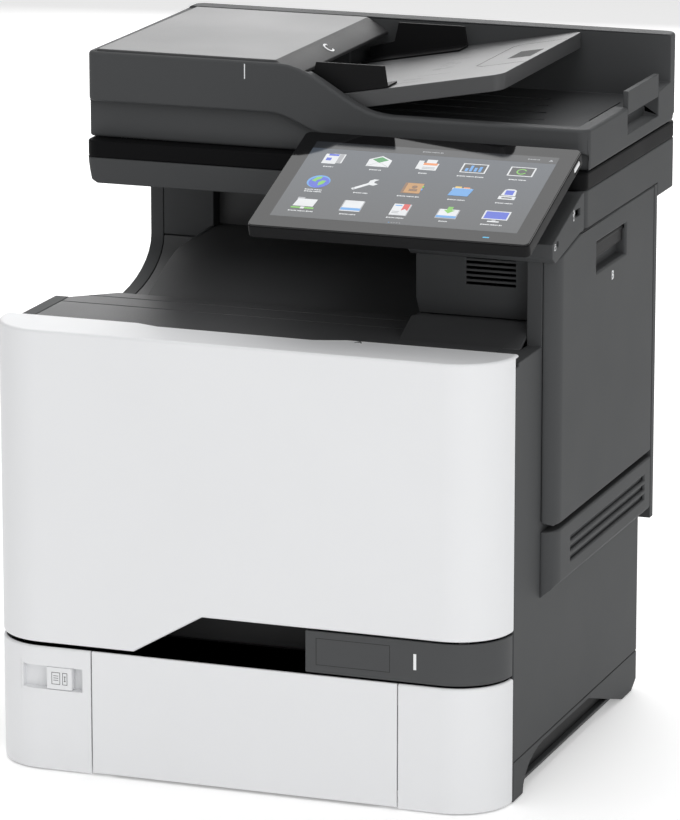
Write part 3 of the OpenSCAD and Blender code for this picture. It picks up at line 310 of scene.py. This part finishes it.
def softened(node, width, finish, rim=None, rimWidth=0.0):  # the CAD panel with its edges rounded off
    bm = bmesh.new()
    bm.from_mesh(frame["nodes"][node].data)
    bmesh.ops.remove_doubles(bm, verts=bm.verts, dist=rounding["merge"] * mm)
    bmesh.ops.dissolve_limit(bm, angle_limit=rounding["flat"], verts=bm.verts, edges=bm.edges)
    skin = BVHTree.FromBMesh(bm)
    low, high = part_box(node)
    if rim:
        roundOff(bm, [e for e in bm.edges if onRim(e, low, high, rim)], rimWidth, rounding["rimSteps"])
    sharp = [e for e in bm.edges if len(e.link_faces) == 2 and e.calc_face_angle(0) > rounding["sharp"]]
    roundOff(bm, sharp, width, rounding["steps"])
    for vert in bm.verts:  # a corner that the rounding threw off goes back on the panel, inside its box
        nearest, normal, index, gap = skin.find_nearest(vert.co)
        if gap > max(width, rimWidth) * mm * rounding["thrown"]:
            vert.co = nearest
        vert.co = [min(max(value, least), most) for value, least, most in zip(vert.co, low, high)]
    piece = newPiece(node + "_soft", bm, bodyOf[node], [finish], 0.62)
    weighted = piece.modifiers.new("evenShading", "WEIGHTED_NORMAL")
    weighted.keep_sharp = True
    weighted.weight = rounding["evenness"]
    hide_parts(node)
    return piece


softPanels = {  # edge radius in mm and finish, and for some a rim with its own radius
    "door_a": (0.4, "whitePlastic", "plan", 2.5), "tray_front": (0.4, "whitePlastic", "ends", 2.2),
    "manual_feed_door": (0.7, "whitePlastic"),
    "tray_latch": (1.0, "whitePlastic"), "power_button": (1.2, "letterWhite"),
    "front_band": (0.8, "bandPlastic"), "inner_front_panel": (0.7, "innerPlastic"),
    "base_pan": (0.8, "greyPlastic"), "left_cover": (0.9, "greyPlastic"), "right_cover": (0.9, "greyPlastic"),
    "rear_cover": (0.6, "greyPlastic"), "vent_panel": (0.7, "greyPlastic", "side", 2.0),
    "deck_cover": (0.9, "greyTexture"),
    "left_pillar": (0.8, "greyPlastic"), "grille_column": (0.6, "greyPlastic"),
    "display_console": (0.8, "greyPlastic"), "scanner_base": (0.8, "greyPlastic", "ends", 1.8),
    "scanner_rim": (0.7, "rimPlastic", "ends", 1.8), "feeder_body": (0.8, "greyPlastic", "plan", 3.0),
    "feeder_cover": (0.8, "greyTop"),
    "input_tray": (0.7, "greyTop"), "front_guide": (0.6, "blackPlastic"), "rear_guide": (0.6, "blackPlastic"),
    "paper_stop": (0.6, "greyPlastic"), "display_housing": (0.8, "blackPlastic"),
    "display_glass": (0.5, "displayGlass"), "door_b": (0.8, "greyPlastic", "side", 2.6),
    "door_b_liner": (0.5, "blackPlastic"), "door_b_latch": (0.6, "blackPlastic"),
    "tray_body": (0.5, "blackPlastic"), "rubber_feet": (0.7, "blackRubber"),
}
softPieces = {nodeName: softened(nodeName, *how) for nodeName, how in softPanels.items()}
coverSkin = softPieces["feeder_cover"].data  # painted shade: the slope of cover C is put in the darker, duller innerPlastic finish to stand in for the shade it lies in
coverSkin.materials.append(finishes["innerPlastic"])
paintedShadeFacing = 0.3
# painted shade: faces of cover C that lean to the right take the darker colour
for face in coverSkin.polygons:
    if face.normal.x > paintedShadeFacing:
        face.material_index = 1
print("outer panels softened")

insideFinish = {
    "base_frame": "blackPlastic", "feeder_hinges": "zincSheet", "lift_plate": "zincSheet",
    "belt_roller": "zincSheet",
    "power_supply": "zincSheet", "platen_glass": "clearGlass", "platen_pad": "whiteFoam",
    "controller_board": "boardGreen", "drum_black": "drumCoat", "drum_cyan": "drumCoat",
    "drum_magenta": "drumCoat",
    "drum_yellow": "drumCoat", "fuser_roller": "fuserFilm", "pressure_roller": "blackRubber",
    "feeder_roller": "blackRubber", "pick_roller": "blackRubber", "exit_roller": "blackRubber",
    "transfer_belt": "blackGloss", "scan_carriage": "blackPlastic", "drum_carrier": "blackPlastic",
    "laser_unit": "blackPlastic", "fuser_housing": "blackPlastic", "fan_frame": "blackPlastic",
    "fan_rotor": "blackPlastic", "toner_black": "blackPlastic", "toner_cyan": "blackPlastic",
    "toner_magenta": "blackPlastic", "toner_yellow": "blackPlastic", "connectors": "blackPlastic",
}
for nodeName, finishName in insideFinish.items():
    mesh = frame["nodes"][nodeName].data
    mesh.materials.clear()
    mesh.materials.append(finishes[finishName])
print("inside parts finished")


# letters and printed marks

lettering = {"sizePerHeight": 1.42, "thicken": 0.022, "merge": 0.001}


def letterMesh(character, height, thickness, place):  # a generic single character as a thin solid
    curve = bpy.data.curves.new("mark", "FONT")
    curve.body = character
    curve.align_x = "CENTER"
    curve.align_y = "CENTER"
    curve.size = height * lettering["sizePerHeight"] * mm
    curve.offset = height * lettering["thicken"] * mm
    curve.extrude = thickness * mm / 2
    holder = bpy.data.objects.new("mark", curve)
    bpy.context.scene.collection.objects.link(holder)
    bpy.context.view_layer.update()
    made = bpy.data.meshes.new_from_object(holder.evaluated_get(bpy.context.evaluated_depsgraph_get()))
    bpy.data.objects.remove(holder)
    bm = bmesh.new()
    bm.from_mesh(made)
    bmesh.ops.remove_doubles(bm, verts=bm.verts, dist=lettering["merge"] * mm)
    bmesh.ops.recalc_face_normals(bm, faces=bm.faces)
    bmesh.ops.transform(bm, matrix=place, verts=bm.verts)
    return bm


def facing(point, axisX, axisY):  # a frame at a point with its drawing axes, for marks on a face
    across, up = Vector(axisX).normalized(), Vector(axisY).normalized()
    out = across.cross(up)
    turned = Matrix((across, up, out)).transposed().to_4x4()
    return Matrix.Translation(point) @ turned


doorLow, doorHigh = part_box("door_a")
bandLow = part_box("front_band")[0]
sideLow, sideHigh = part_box("door_b")
coverLow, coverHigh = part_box("feeder_cover")
marks = {  # offsets in mm from the corner of the panel they are on
    "door_letter": {"text": "A", "height": 7.0, "thick": 0.3,
                    "at": (doorLow.x + 329 * mm, doorLow.y + 51.5 * mm, doorHigh.z),
                    "across": (1, 0, 0), "up": (0, 1, 0), "body": "front_door", "ink": "letterGrey"},
    "tray_number": {"text": "1", "height": 14.0,
                    "at": (bandLow.x + 99.5 * mm, bandLow.y, bandLow.z + 18 * mm),
                    "across": (1, 0, 0), "up": (0, 0, 1), "body": "machine", "ink": "letterWhite"},
    "side_letter": {"text": "B", "height": 8.0,
                    "at": (sideHigh.x, sideLow.y + 162 * mm, sideHigh.z - 57 * mm),
                    "across": (0, 1, 0), "up": (0, 0, 1), "body": "side_door", "ink": "letterWhite"},
    "cover_letter": {"text": "C", "height": 11.0, "thick": 0.6,
                     "at": (coverHigh.x - 9 * mm, coverLow.y + 110 * mm, coverHigh.z - 6.6 * mm),
                     "across": (0, 1, 0), "up": (-20, 0, 12), "body": "cover_c", "ink": "letterWhite"},
}
for name, mark in marks.items():
    place = facing(mark["at"], mark["across"], mark["up"])
    bm = letterMesh(mark["text"], mark["height"], mark.get("thick", 0.16), place)
    newPiece(name, bm, mark["body"], [mark["ink"]])
print("letters placed")


# thin plates: printed marks, outlines and small inlays

def bar(x, y, wide, tall):  # a rectangle about its middle
    return [(x - wide / 2, y - tall / 2), (x + wide / 2, y - tall / 2),
            (x + wide / 2, y + tall / 2), (x - wide / 2, y + tall / 2)]


def disc(x, y, radius, sides=24):
    return [(x + radius * math.cos(2 * math.pi * i / sides), y + radius * math.sin(2 * math.pi * i / sides))
            for i in range(sides)]


def hoop(x0, x1, y0, y1, line):  # four bars round a rectangle
    return [bar((x0 + x1) / 2, y0, x1 - x0 + line, line), bar((x0 + x1) / 2, y1, x1 - x0 + line, line),
            bar(x0, (y0 + y1) / 2, line, y1 - y0 - line), bar(x1, (y0 + y1) / 2, line, y1 - y0 - line)]


def line(x0, y0, x1, y1, wide):  # a bar from one point to another
    along = Vector((x1 - x0, y1 - y0)).normalized() * wide / 2
    side = Vector((-along.y, along.x))
    return [(x0 + side.x, y0 + side.y), (x0 - side.x, y0 - side.y),
            (x1 - side.x, y1 - side.y), (x1 + side.x, y1 + side.y)]


def addPlate(bm, outline, base, thick, materialIndex=0):  # a flat shape with some thickness
    face = bm.faces.new([bm.verts.new((x, y, base)) for x, y in outline])
    lifted = bmesh.ops.extrude_face_region(bm, geom=[face])["geom"]
    bmesh.ops.translate(bm, verts=[g for g in lifted if isinstance(g, bmesh.types.BMVert)], vec=(0, 0, thick))
    sides = {f for v in face.verts for f in v.link_faces}
    tops = {g for g in lifted if isinstance(g, bmesh.types.BMFace)}
    for done in sides | tops:
        done.material_index = materialIndex


def inlay(name, place, body, finish, outlines, thick=0.1, sunk=0.04):
    bm = bmesh.new()
    for outline in outlines:
        addPlate(bm, outline, -sunk, thick)
    bmesh.ops.recalc_face_normals(bm, faces=bm.faces)
    bmesh.ops.transform(bm, matrix=place @ Matrix.Scale(mm, 4), verts=bm.verts)
    return newPiece(name, bm, body, [finish])


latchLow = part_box("tray_latch")[0]
feederLow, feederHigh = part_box("feeder_body")
consoleLow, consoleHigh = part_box("display_console")
trayLow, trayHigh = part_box("input_tray")
traySlope = math.atan(0.1817)
onBand = facing((bandLow.x, bandLow.y, bandLow.z), (1, 0, 0), (0, 0, 1))
onLatch = facing((latchLow.x, latchLow.y, latchLow.z), (1, 0, 0), (0, 0, 1))
onConsole = facing((consoleHigh.x, consoleLow.y, consoleLow.z), (0, 1, 0), (0, 0, 1))
onTray = facing((trayHigh.x, trayLow.y, trayHigh.z), (math.cos(traySlope), 0, math.sin(traySlope)), (0, 1, 0))
onFeeder = facing((feederLow.x, feederLow.y, feederHigh.z), (1, 0, 0), (0, 0, 1))

inlay("band_outline", onBand, "machine", "innerPlastic", hoop(10.0, 76.8, 7.4, 31.0, 0.5))
inlay("latch_icon", onLatch, "size_slider", "letterGrey",
      hoop(5.2, 12.8, 5.0, 15.6, 0.5) + [bar(9, y, 4.6, 0.5) for y in (12.6, 10.6, 8.6)]
      + hoop(15.4, 19.6, 5.0, 15.6, 0.5)
      + [bar(17.5, 10.3, 0.6, 5.0), bar(17.5, 12.4, 1.8, 0.6), bar(17.5, 8.2, 1.8, 0.6)])
inlay("feeder_tick", onFeeder, "feeder", "letterWhite", [bar(151.5, -11.0, 0.9, 13.5)], 0.12, 0.02)
inlay("usb_icon", onConsole, "machine", "letterWhite",
      [bar(59.5, 32.0, 0.8, 7.0), disc(59.5, 28.0, 1.1, 12), [(58.2, 35.0), (60.8, 35.0), (59.5, 37.2)],
       line(59.5, 30.0, 57.6, 32.6, 0.6), line(59.5, 31.0, 61.4, 33.4, 0.6), disc(57.6, 33.0, 0.8, 10),
       bar(61.4, 33.8, 1.4, 1.4)])
inlay("lock_icon", onConsole, "machine", "letterWhite",
      hoop(5.6, 9.4, 12.0, 15.0, 0.6) + hoop(6.4, 8.6, 15.2, 17.0, 0.5))
flap = {"near": 76.0, "far": 198.0, "inner": -50.0, "outer": -0.5, "cut": 8.0, "line": 0.8}
flapEdge = [(flap["outer"], flap["near"]), (flap["inner"] + flap["cut"], flap["near"]),
            (flap["inner"], flap["near"] + flap["cut"]), (flap["inner"], flap["far"] - flap["cut"]),
            (flap["inner"] + flap["cut"], flap["far"]), (flap["outer"], flap["far"])]
inlay("tray_flap_line", onTray, "original_tray", "rimPlastic",
      [line(*near, *far, flap["line"]) for near, far in zip(flapEdge, flapEdge[1:])])
inlay("tray_flap_slot", onTray, "original_tray", "rimPlastic", [bar(-18, 128, 22, 40)], 0.06, 0.02)
sizeLines = ((-112, 30, 26), (-106, 46, 18), (-98, 62, 30), (-98, 96, 22), (-98, 124, 14), (-96, 150, 18))
sizeBoxes = [hoop(-94 + 9 * (k % 2), -88 + 9 * (k % 2), 92 + 9 * k, 98 + 9 * k, 0.45) for k in range(5)]
inlay("tray_size_marks", onTray, "original_tray", "letterGrey",
      [line(x, y, x + run, y, 0.5) for x, y, run in sizeLines] + [side for box in sizeBoxes for side in box],
      0.06, 0.02)


def ventBacking():  # shallow back of the vent slots
    look = {"depth": 4.2, "thick": 2.0, "low": 19.0, "high": 49.0, "front": 43.0, "rear": 14.0, "edge": 0.4}
    low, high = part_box("vent_panel")
    bm = bmesh.new()
    bmesh.ops.create_cube(bm, size=1.0)
    wide = (high.y - low.y) / mm - look["front"] - look["rear"]
    bmesh.ops.scale(bm, vec=(look["thick"] * mm, wide * mm, (look["high"] - look["low"]) * mm),
                    verts=bm.verts)
    bmesh.ops.bevel(bm, geom=bm.edges, offset=look["edge"] * mm, offset_type="OFFSET", affect="EDGES",
                    segments=2, profile=0.5, material=-1)
    middle = Vector((high.x - look["depth"] * mm, low.y + (look["front"] + wide / 2) * mm,
                     low.z + (look["low"] + look["high"]) / 2 * mm))
    bmesh.ops.translate(bm, verts=bm.verts, vec=middle)
    newPiece("vent_backing", bm, "machine", ["greyPlastic"])


ventBacking()
print("marks and inlays placed")


# touch display: lit panel, generic icons and label bars

panel = {"tilt": math.radians(19.9), "thick": 1.8, "left": 14.9, "low": 17.0, "wide": 222.0, "tall": 125.5,
         "bar": 11.0, "columns": (39.0, 81.7, 125.0, 168.0, 210.8), "rows": (115.5, 76.5, 41.0),
         "lift": 0.05, "layer": 0.03, "icon": 1.15, "word": 1.5, "label": 13.6, "secondLabel": 16.6}
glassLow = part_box("display_glass")[0]
onGlass = (Matrix.Translation((glassLow.x, glassLow.y,
                               glassLow.z + panel["thick"] * mm * math.cos(panel["tilt"])))
           @ Matrix.Rotation(panel["tilt"], 4, "X") @ Matrix.Scale(mm, 4))

inks = {  # screen colours, as light given off
    "inkWhite": (0.72, 0.74, 0.76), "inkGrey": (0.36, 0.37, 0.39), "inkDark": (0.020, 0.022, 0.026),
    "inkBlue": (0.035, 0.085, 0.60), "inkSky": (0.085, 0.33, 0.72), "inkGreen": (0.02, 0.27, 0.06),
    "inkLime": (0.17, 0.52, 0.05), "inkOrange": (0.78, 0.24, 0.05), "inkRed": (0.66, 0.04, 0.035),
    "inkTan": (0.50, 0.24, 0.05), "inkYellow": (0.78, 0.52, 0.08), "inkBrown": (0.20, 0.085, 0.02),
    "inkLed": (0.01, 0.42, 0.72),
}


def screenInk(name, colour):  # a lit area: a soft gradient and fine grain
    paint = Finish(name)
    place = paint.space()
    grain = paint.noise(place, 1600.0, 1.0)
    drift = paint.noise(place, 45.0, 1.0)
    shade = grain * 0.3 + drift * 0.7
    lit = paint.blend(shade, tone(colour, 0.82), tone(colour, 1.15))
    return paint.surface({"Base Color": paint.blend(shade, tone(colour, 0.1), tone(colour, 0.2)),
                          "Roughness": 0.06 + grain * 0.04,
                          "Emission Color": lit, "Emission Strength": 0.8})


def screenGlow():  # the lit background: cooler at the top, fading to grey below
    look = {"top": (0.052, 0.066, 0.088), "foot": (0.024, 0.027, 0.031), "perMetre": 17.0, "grain": 0.05}
    paint = Finish("screenGlow")
    height = paint.node("ShaderNodeSeparateXYZ", {}, {0: paint.space((1, 1, 1))}, out="Z")
    grain = paint.noise(paint.space(), 1500.0, 1.0)
    amount = (height - glassLow.z) * look["perMetre"] + (grain - 0.5) * look["grain"]
    lit = paint.ramp(amount, [(0.1, look["foot"]), (0.95, look["top"])])
    return paint.surface({"Base Color": paint.blend(grain, (0.010, 0.011, 0.012, 1),
                                                    (0.014, 0.015, 0.016, 1)),
                          "Roughness": 0.05 + grain * 0.03, "Emission Color": lit, "Emission Strength": 1.0})


finishes["screenGlow"] = screenGlow()
for inkName, inkColour in inks.items():
    finishes[inkName] = screenInk(inkName, inkColour)
inkNames = list(inks)


def patch(bm, ink, outline, layer):  # a thin flat shape on the glass, from its outline in mm
    addPlate(bm, outline, panel["lift"] + layer * panel["layer"], panel["layer"], inkNames.index(ink))


def iconShapes(kind):  # generic pictures in mm, each a list of (colour, outline) from the back to the front
    if kind == "sheets":
        return [("inkWhite", bar(3.4, 0.6, 10, 13)), ("inkGrey", bar(2.2, 0.2, 10.4, 13.2)),
                ("inkWhite", bar(-1.8, -0.6, 11, 14)), ("inkBlue", bar(-0.8, 5.2, 8, 2.6)),
                ("inkBlue", bar(-3.2, -1, 4, 4))]
    if kind == "envelope":
        return [("inkWhite", [(-9, -7), (9, -7), (9, 3), (0, 8.5), (-9, 3)]),
                ("inkGreen", [(0, -1.4), (6.4, 3), (0, 7), (-6.4, 3)]),
                ("inkGrey", [(-8.4, -6.4), (0, -0.6), (-7.8, -6.6)]),
                ("inkGrey", [(8.4, -6.4), (7.8, -6.6), (0, -0.6)])]
    if kind == "fax":
        return [("inkWhite", bar(-5.6, 0, 4, 12)), ("inkWhite", bar(2.4, -2, 13, 10)),
                ("inkWhite", bar(2.4, 5, 8, 6)),
                ("inkOrange", bar(2.4, 1.6, 11, 3)), ("inkGrey", bar(2.4, -3.2, 10, 0.8)),
                ("inkGrey", bar(2.4, -5.0, 10, 0.8))]
    if kind == "chart":
        return [("inkWhite", bar(0, 0, 20, 13)), ("inkDark", bar(0, 0, 17.6, 11)),
                ("inkSky", bar(-5.4, -2.4, 2.2, 4.4)),
                ("inkSky", bar(-2.0, -0.4, 2.2, 8.4)), ("inkSky", bar(1.6, -1.8, 2.2, 5.6)),
                ("inkSky", bar(5.2, -1.0, 2.2, 7.2))]
    if kind == "queue":
        return [("inkWhite", bar(0, 0, 20, 13)), ("inkDark", bar(0, 0, 17.6, 11)),
                ("inkLime", disc(0, 0, 4.0)),
                ("inkDark", disc(0, 0, 2.8)), ("inkDark", bar(3.2, 0, 3.0, 2.6))]
    if kind == "globe":
        return [("inkSky", disc(0, 0, 9)), ("inkBlue", disc(0.6, -0.8, 8)),
                ("inkLime", [(-6, 1), (-3, 6.5), (1, 7.6), (0.6, 4), (-1.6, 2.4), (-2.4, -0.6)]),
                ("inkLime", [(1, -6), (4.4, -3), (5.6, 1.6), (2.4, 1.8), (0.2, -1.4)])]
    if kind == "wrench":
        jaws = [(3.0, 0.2), (6.4, -0.4), (9.4, 2.0), (6.0, 3.4), (5.6, 5.4), (8.6, 8.4), (4.6, 8.6),
                (1.8, 6.4),
                (1.4, 2.6)]
        return [("inkWhite", [(-9.4, -6), (-7.4, -8), (4, 1.2), (2, 3.4)]), ("inkWhite", jaws),
                ("inkGrey", disc(-7.2, -5.8, 0.9, 12))]
    if kind == "book":
        return [("inkBrown", bar(-0.6, 0, 14.4, 15)), ("inkTan", bar(0.6, 0.2, 12.6, 13.8)),
                ("inkBrown", disc(0.8, 1.8, 2.2)),
                ("inkBrown", bar(0.8, -2.6, 6.4, 3)), ("inkSky", bar(7.2, -1.0, 1.2, 2.6)),
                ("inkLime", bar(7.2, 2.8, 1.2, 2.6))]
    if kind == "folder":
        return [("inkYellow", bar(-3.4, 5.4, 5, 3.4)), ("inkOrange", bar(3.2, 5, 5, 3)),
                ("inkWhite", bar(0, 3.4, 15, 3)),
                ("inkSky", [(-8.4, -6.2), (7.2, -6.2), (9, 4.4), (-6.8, 4.4)])]
    if kind == "stick":
        return [("inkWhite", [(-5.6, -1), (5.6, -1), (4.6, 7), (2.4, 8.4), (-2.4, 8.4), (-4.6, 7)]),
                ("inkBlue", bar(0, 3.4, 6.6, 6.4)),
                ("inkWhite", bar(0, -4.2, 13, 4.6)), ("inkDark", bar(0, -4.2, 8, 1.6))]
    if kind == "share":
        return [("inkGrey", bar(-5, 6, 5.6, 3)), ("inkWhite", [(-8.4, -5), (7.6, -5), (8.4, 5.4), (-7, 5.4)]),
                ("inkLime", bar(0, -7.2, 18, 2)), ("inkWhite", bar(0, -7.2, 3, 2.8))]
    if kind == "disk":
        return [("inkGrey", bar(0, 0, 16.4, 15)), ("inkWhite", bar(0, 1.4, 14.6, 12.4)),
                ("inkSky", bar(0, -4.4, 15.4, 3.4)),
                ("inkWhite", bar(0, -6.9, 15.4, 1.2))]
    if kind == "page":
        return [("inkGrey", bar(0.4, -0.4, 13.8, 16)), ("inkWhite", bar(0, 0, 13, 15.6)),
                ("inkSky", bar(-2.6, 5.6, 5.4, 1.4)),
                ("inkRed", [(1, 7.8), (1, -1.4), (3.4, 1), (6, -1.4), (6, 7.8)]),
                ("inkGrey", bar(-2.6, -3, 5.4, 0.7)),
                ("inkGrey", bar(-2.6, -5, 5.4, 0.7))]
    if kind == "download":
        return [("inkGrey", bar(0, -1.4, 16.4, 13)), ("inkWhite", bar(0, 0, 14.6, 10.4)),
                ("inkSky", bar(0, -5.2, 15.4, 3.0)),
                ("inkLime", bar(0, 6.2, 4, 5)), ("inkLime", [(-4.4, 4), (0, -0.6), (4.4, 4)])]
    return [("inkWhite", bar(0, 1.6, 20, 12)), ("inkBlue", bar(0, 1.6, 17.6, 9.8)),
            ("inkGrey", bar(0, -5.6, 3, 3)),
            ("inkWhite", bar(0, -7.4, 9, 1.6))]


iconKinds = (("sheets", "envelope", "fax", "chart", "queue"), ("globe", "wrench", "book", "folder", "stick"),
             ("share", "disk", "page", "download", "monitor"))
labelWidths = ((9, 10, 7, 23, 15), (16, 13, 20, 15, 15), (22, 14, 16, 8, 19))


def wordBars(x, y, wide, tall):  # a label as a row of short bars, which says nothing
    made, at, step = [], x - wide / 2, 0
    while at < x + wide / 2:
        run = (1.1, 0.7, 1.3, 0.9, 0.6)[step % 5]
        made.append(bar(at + run / 2, y, run, tall * (1.25 if step % 4 == 0 else 0.9)))
        at += run + (0.9 if step % 6 == 5 else 0.35)
        step += 1
    return made


def makeScreen():
    bm = bmesh.new()
    glow = bar(panel["left"] + panel["wide"] / 2, panel["low"] + panel["tall"] / 2, panel["wide"],
               panel["tall"])
    corners = [bm.verts.new((x, y, panel["lift"] - panel["layer"])) for x, y in glow]
    face = bm.faces.new(corners)
    lifted = bmesh.ops.extrude_face_region(bm, geom=[face])
    for vert in [g for g in lifted["geom"] if isinstance(g, bmesh.types.BMVert)]:
        vert.co.z += panel["layer"] + 0.01
    bmesh.ops.recalc_face_normals(bm, faces=bm.faces)
    bmesh.ops.transform(bm, matrix=onGlass, verts=bm.verts)
    newPiece("screen_glow", bm, "display", ["screenGlow"])

    bm = bmesh.new()
    barMiddle = panel["low"] + panel["tall"] - panel["bar"] / 2
    middle = panel["left"] + panel["wide"] / 2
    right = panel["left"] + panel["wide"]
    patch(bm, "inkDark", bar(middle, barMiddle, panel["wide"], panel["bar"]), 0)
    for word in wordBars(middle - 2, barMiddle, 19, panel["word"]) + wordBars(right - 22, barMiddle, 10,
                                                                              panel["word"]):
        patch(bm, "inkGrey", word, 1)
    patch(bm, "inkGrey", [(right - 8, barMiddle - 1.6), (right - 4, barMiddle - 1.6),
                          (right - 6, barMiddle + 1.6)], 1)
    for row, kinds in enumerate(iconKinds):
        for column, kind in enumerate(kinds):
            x, y = panel["columns"][column], panel["rows"][row]
            for layer, (ink, outline) in enumerate(iconShapes(kind)):
                patch(bm, ink, [(x + u * panel["icon"], y + v * panel["icon"]) for u, v in outline],
                      layer + 1)
            words = wordBars(x, y - panel["label"], labelWidths[row][column], panel["word"])
            if (row, column) == (1, 0):  # the one label with a second row
                words += wordBars(x, y - panel["secondLabel"], 15, panel["word"])
            for word in words:
                patch(bm, "inkWhite", word, 1)
    for dot in range(5):
        patch(bm, "inkSky" if dot == 0 else "inkGrey",
              disc(middle - 4 + dot * 2.4, panel["low"] + 2.6, 0.55, 10), 1)
    patch(bm, "inkLed", bar(212.6, 7.2, 5.6, 1.7), 0)
    bmesh.ops.recalc_face_normals(bm, faces=bm.faces)
    bmesh.ops.transform(bm, matrix=onGlass, verts=bm.verts)
    newPiece("screen_icons", bm, "display", inkNames)


makeScreen()
print("display finished")


# studio

def studio():
    look = {"floor": (0.92, 0.92, 0.92), "glow": 0.3, "world": (1.0, 1.0, 1.0), "worldPower": 0.45}
    scene = bpy.context.scene
    scene.view_settings.view_transform = "Standard"
    world = bpy.data.worlds.new("studioAir")
    world.use_nodes = True
    back = world.node_tree.nodes.get("Background") or world.node_tree.nodes.new("ShaderNodeBackground")
    back.inputs[0].default_value = (*look["world"], 1)
    back.inputs[1].default_value = look["worldPower"]
    scene.world = world
    bm = bmesh.new()
    bmesh.ops.create_grid(bm, x_segments=2, y_segments=2, size=16)
    mesh = bpy.data.meshes.new("floor")
    bm.to_mesh(mesh)
    bm.free()
    floor = bpy.data.objects.new("floor", mesh)
    scene.collection.objects.link(floor)
    paint = Finish("paleFloor")
    cloud = paint.noise(paint.space(), 1.5)
    mesh.materials.append(paint.surface({
        "Base Color": paint.blend(cloud, tone(look["floor"], 0.99), tone(look["floor"], 1.01)),
        "Roughness": 0.8,
        "Specular IOR Level": 0.2, "Emission Color": (1, 1, 1, 1), "Emission Strength": look["glow"]}))


lamps = {  # softboxes: place, aim, size in metres, power in watts
    "rearLow": {"at": (-0.6, 3.4, 1.4), "aim": (0, 0, 0.6), "size": 2.4, "power": 46},
    "overhead": {"at": (-0.5, 1.2, 3.0), "aim": (0, 0, 0.5), "size": 2.6, "power": 42},
    "frontTop": {"at": (0.4, -2.0, 3.0), "aim": (0, -0.1, 0.4), "size": 1.8, "power": 23},
    "frontRight": {"at": (2.5, -2.5, 1.5), "aim": (0, 0, 0.3), "size": 1.5, "power": 21},
}


def hangLamps():
    for name, lamp in lamps.items():
        light = bpy.data.lights.new(name, "AREA")
        light.shape = "SQUARE"
        light.size = lamp["size"]
        light.energy = lamp["power"]
        holder = bpy.data.objects.new(name, light)
        holder.location = lamp["at"]
        holder.rotation_euler = (Vector(lamp["aim"]) - Vector(lamp["at"])).to_track_quat("-Z", "Y").to_euler()
        bpy.context.scene.collection.objects.link(holder)


def placeCamera():
    shot = {"azimuth": 19.997, "elevation": 13.905, "distance": 4.6413, "aim": (0.0016, 0.0, 0.2865),
            "lens": 227.49}
    turn, rise = math.radians(shot["azimuth"]), math.radians(shot["elevation"])
    back = Vector((math.sin(turn) * math.cos(rise), -math.cos(turn) * math.cos(rise), math.sin(rise)))
    camera = bpy.data.cameras.new("shotCamera")
    camera.sensor_width = 36
    camera.lens = shot["lens"]
    holder = bpy.data.objects.new("shotCamera", camera)
    holder.location = Vector(shot["aim"]) + back * shot["distance"]
    holder.rotation_euler = (-back).to_track_quat("-Z", "Y").to_euler()
    bpy.context.scene.collection.objects.link(holder)
    bpy.context.scene.camera = holder


studio()
hangLamps()
placeCamera()
print("studio ready")
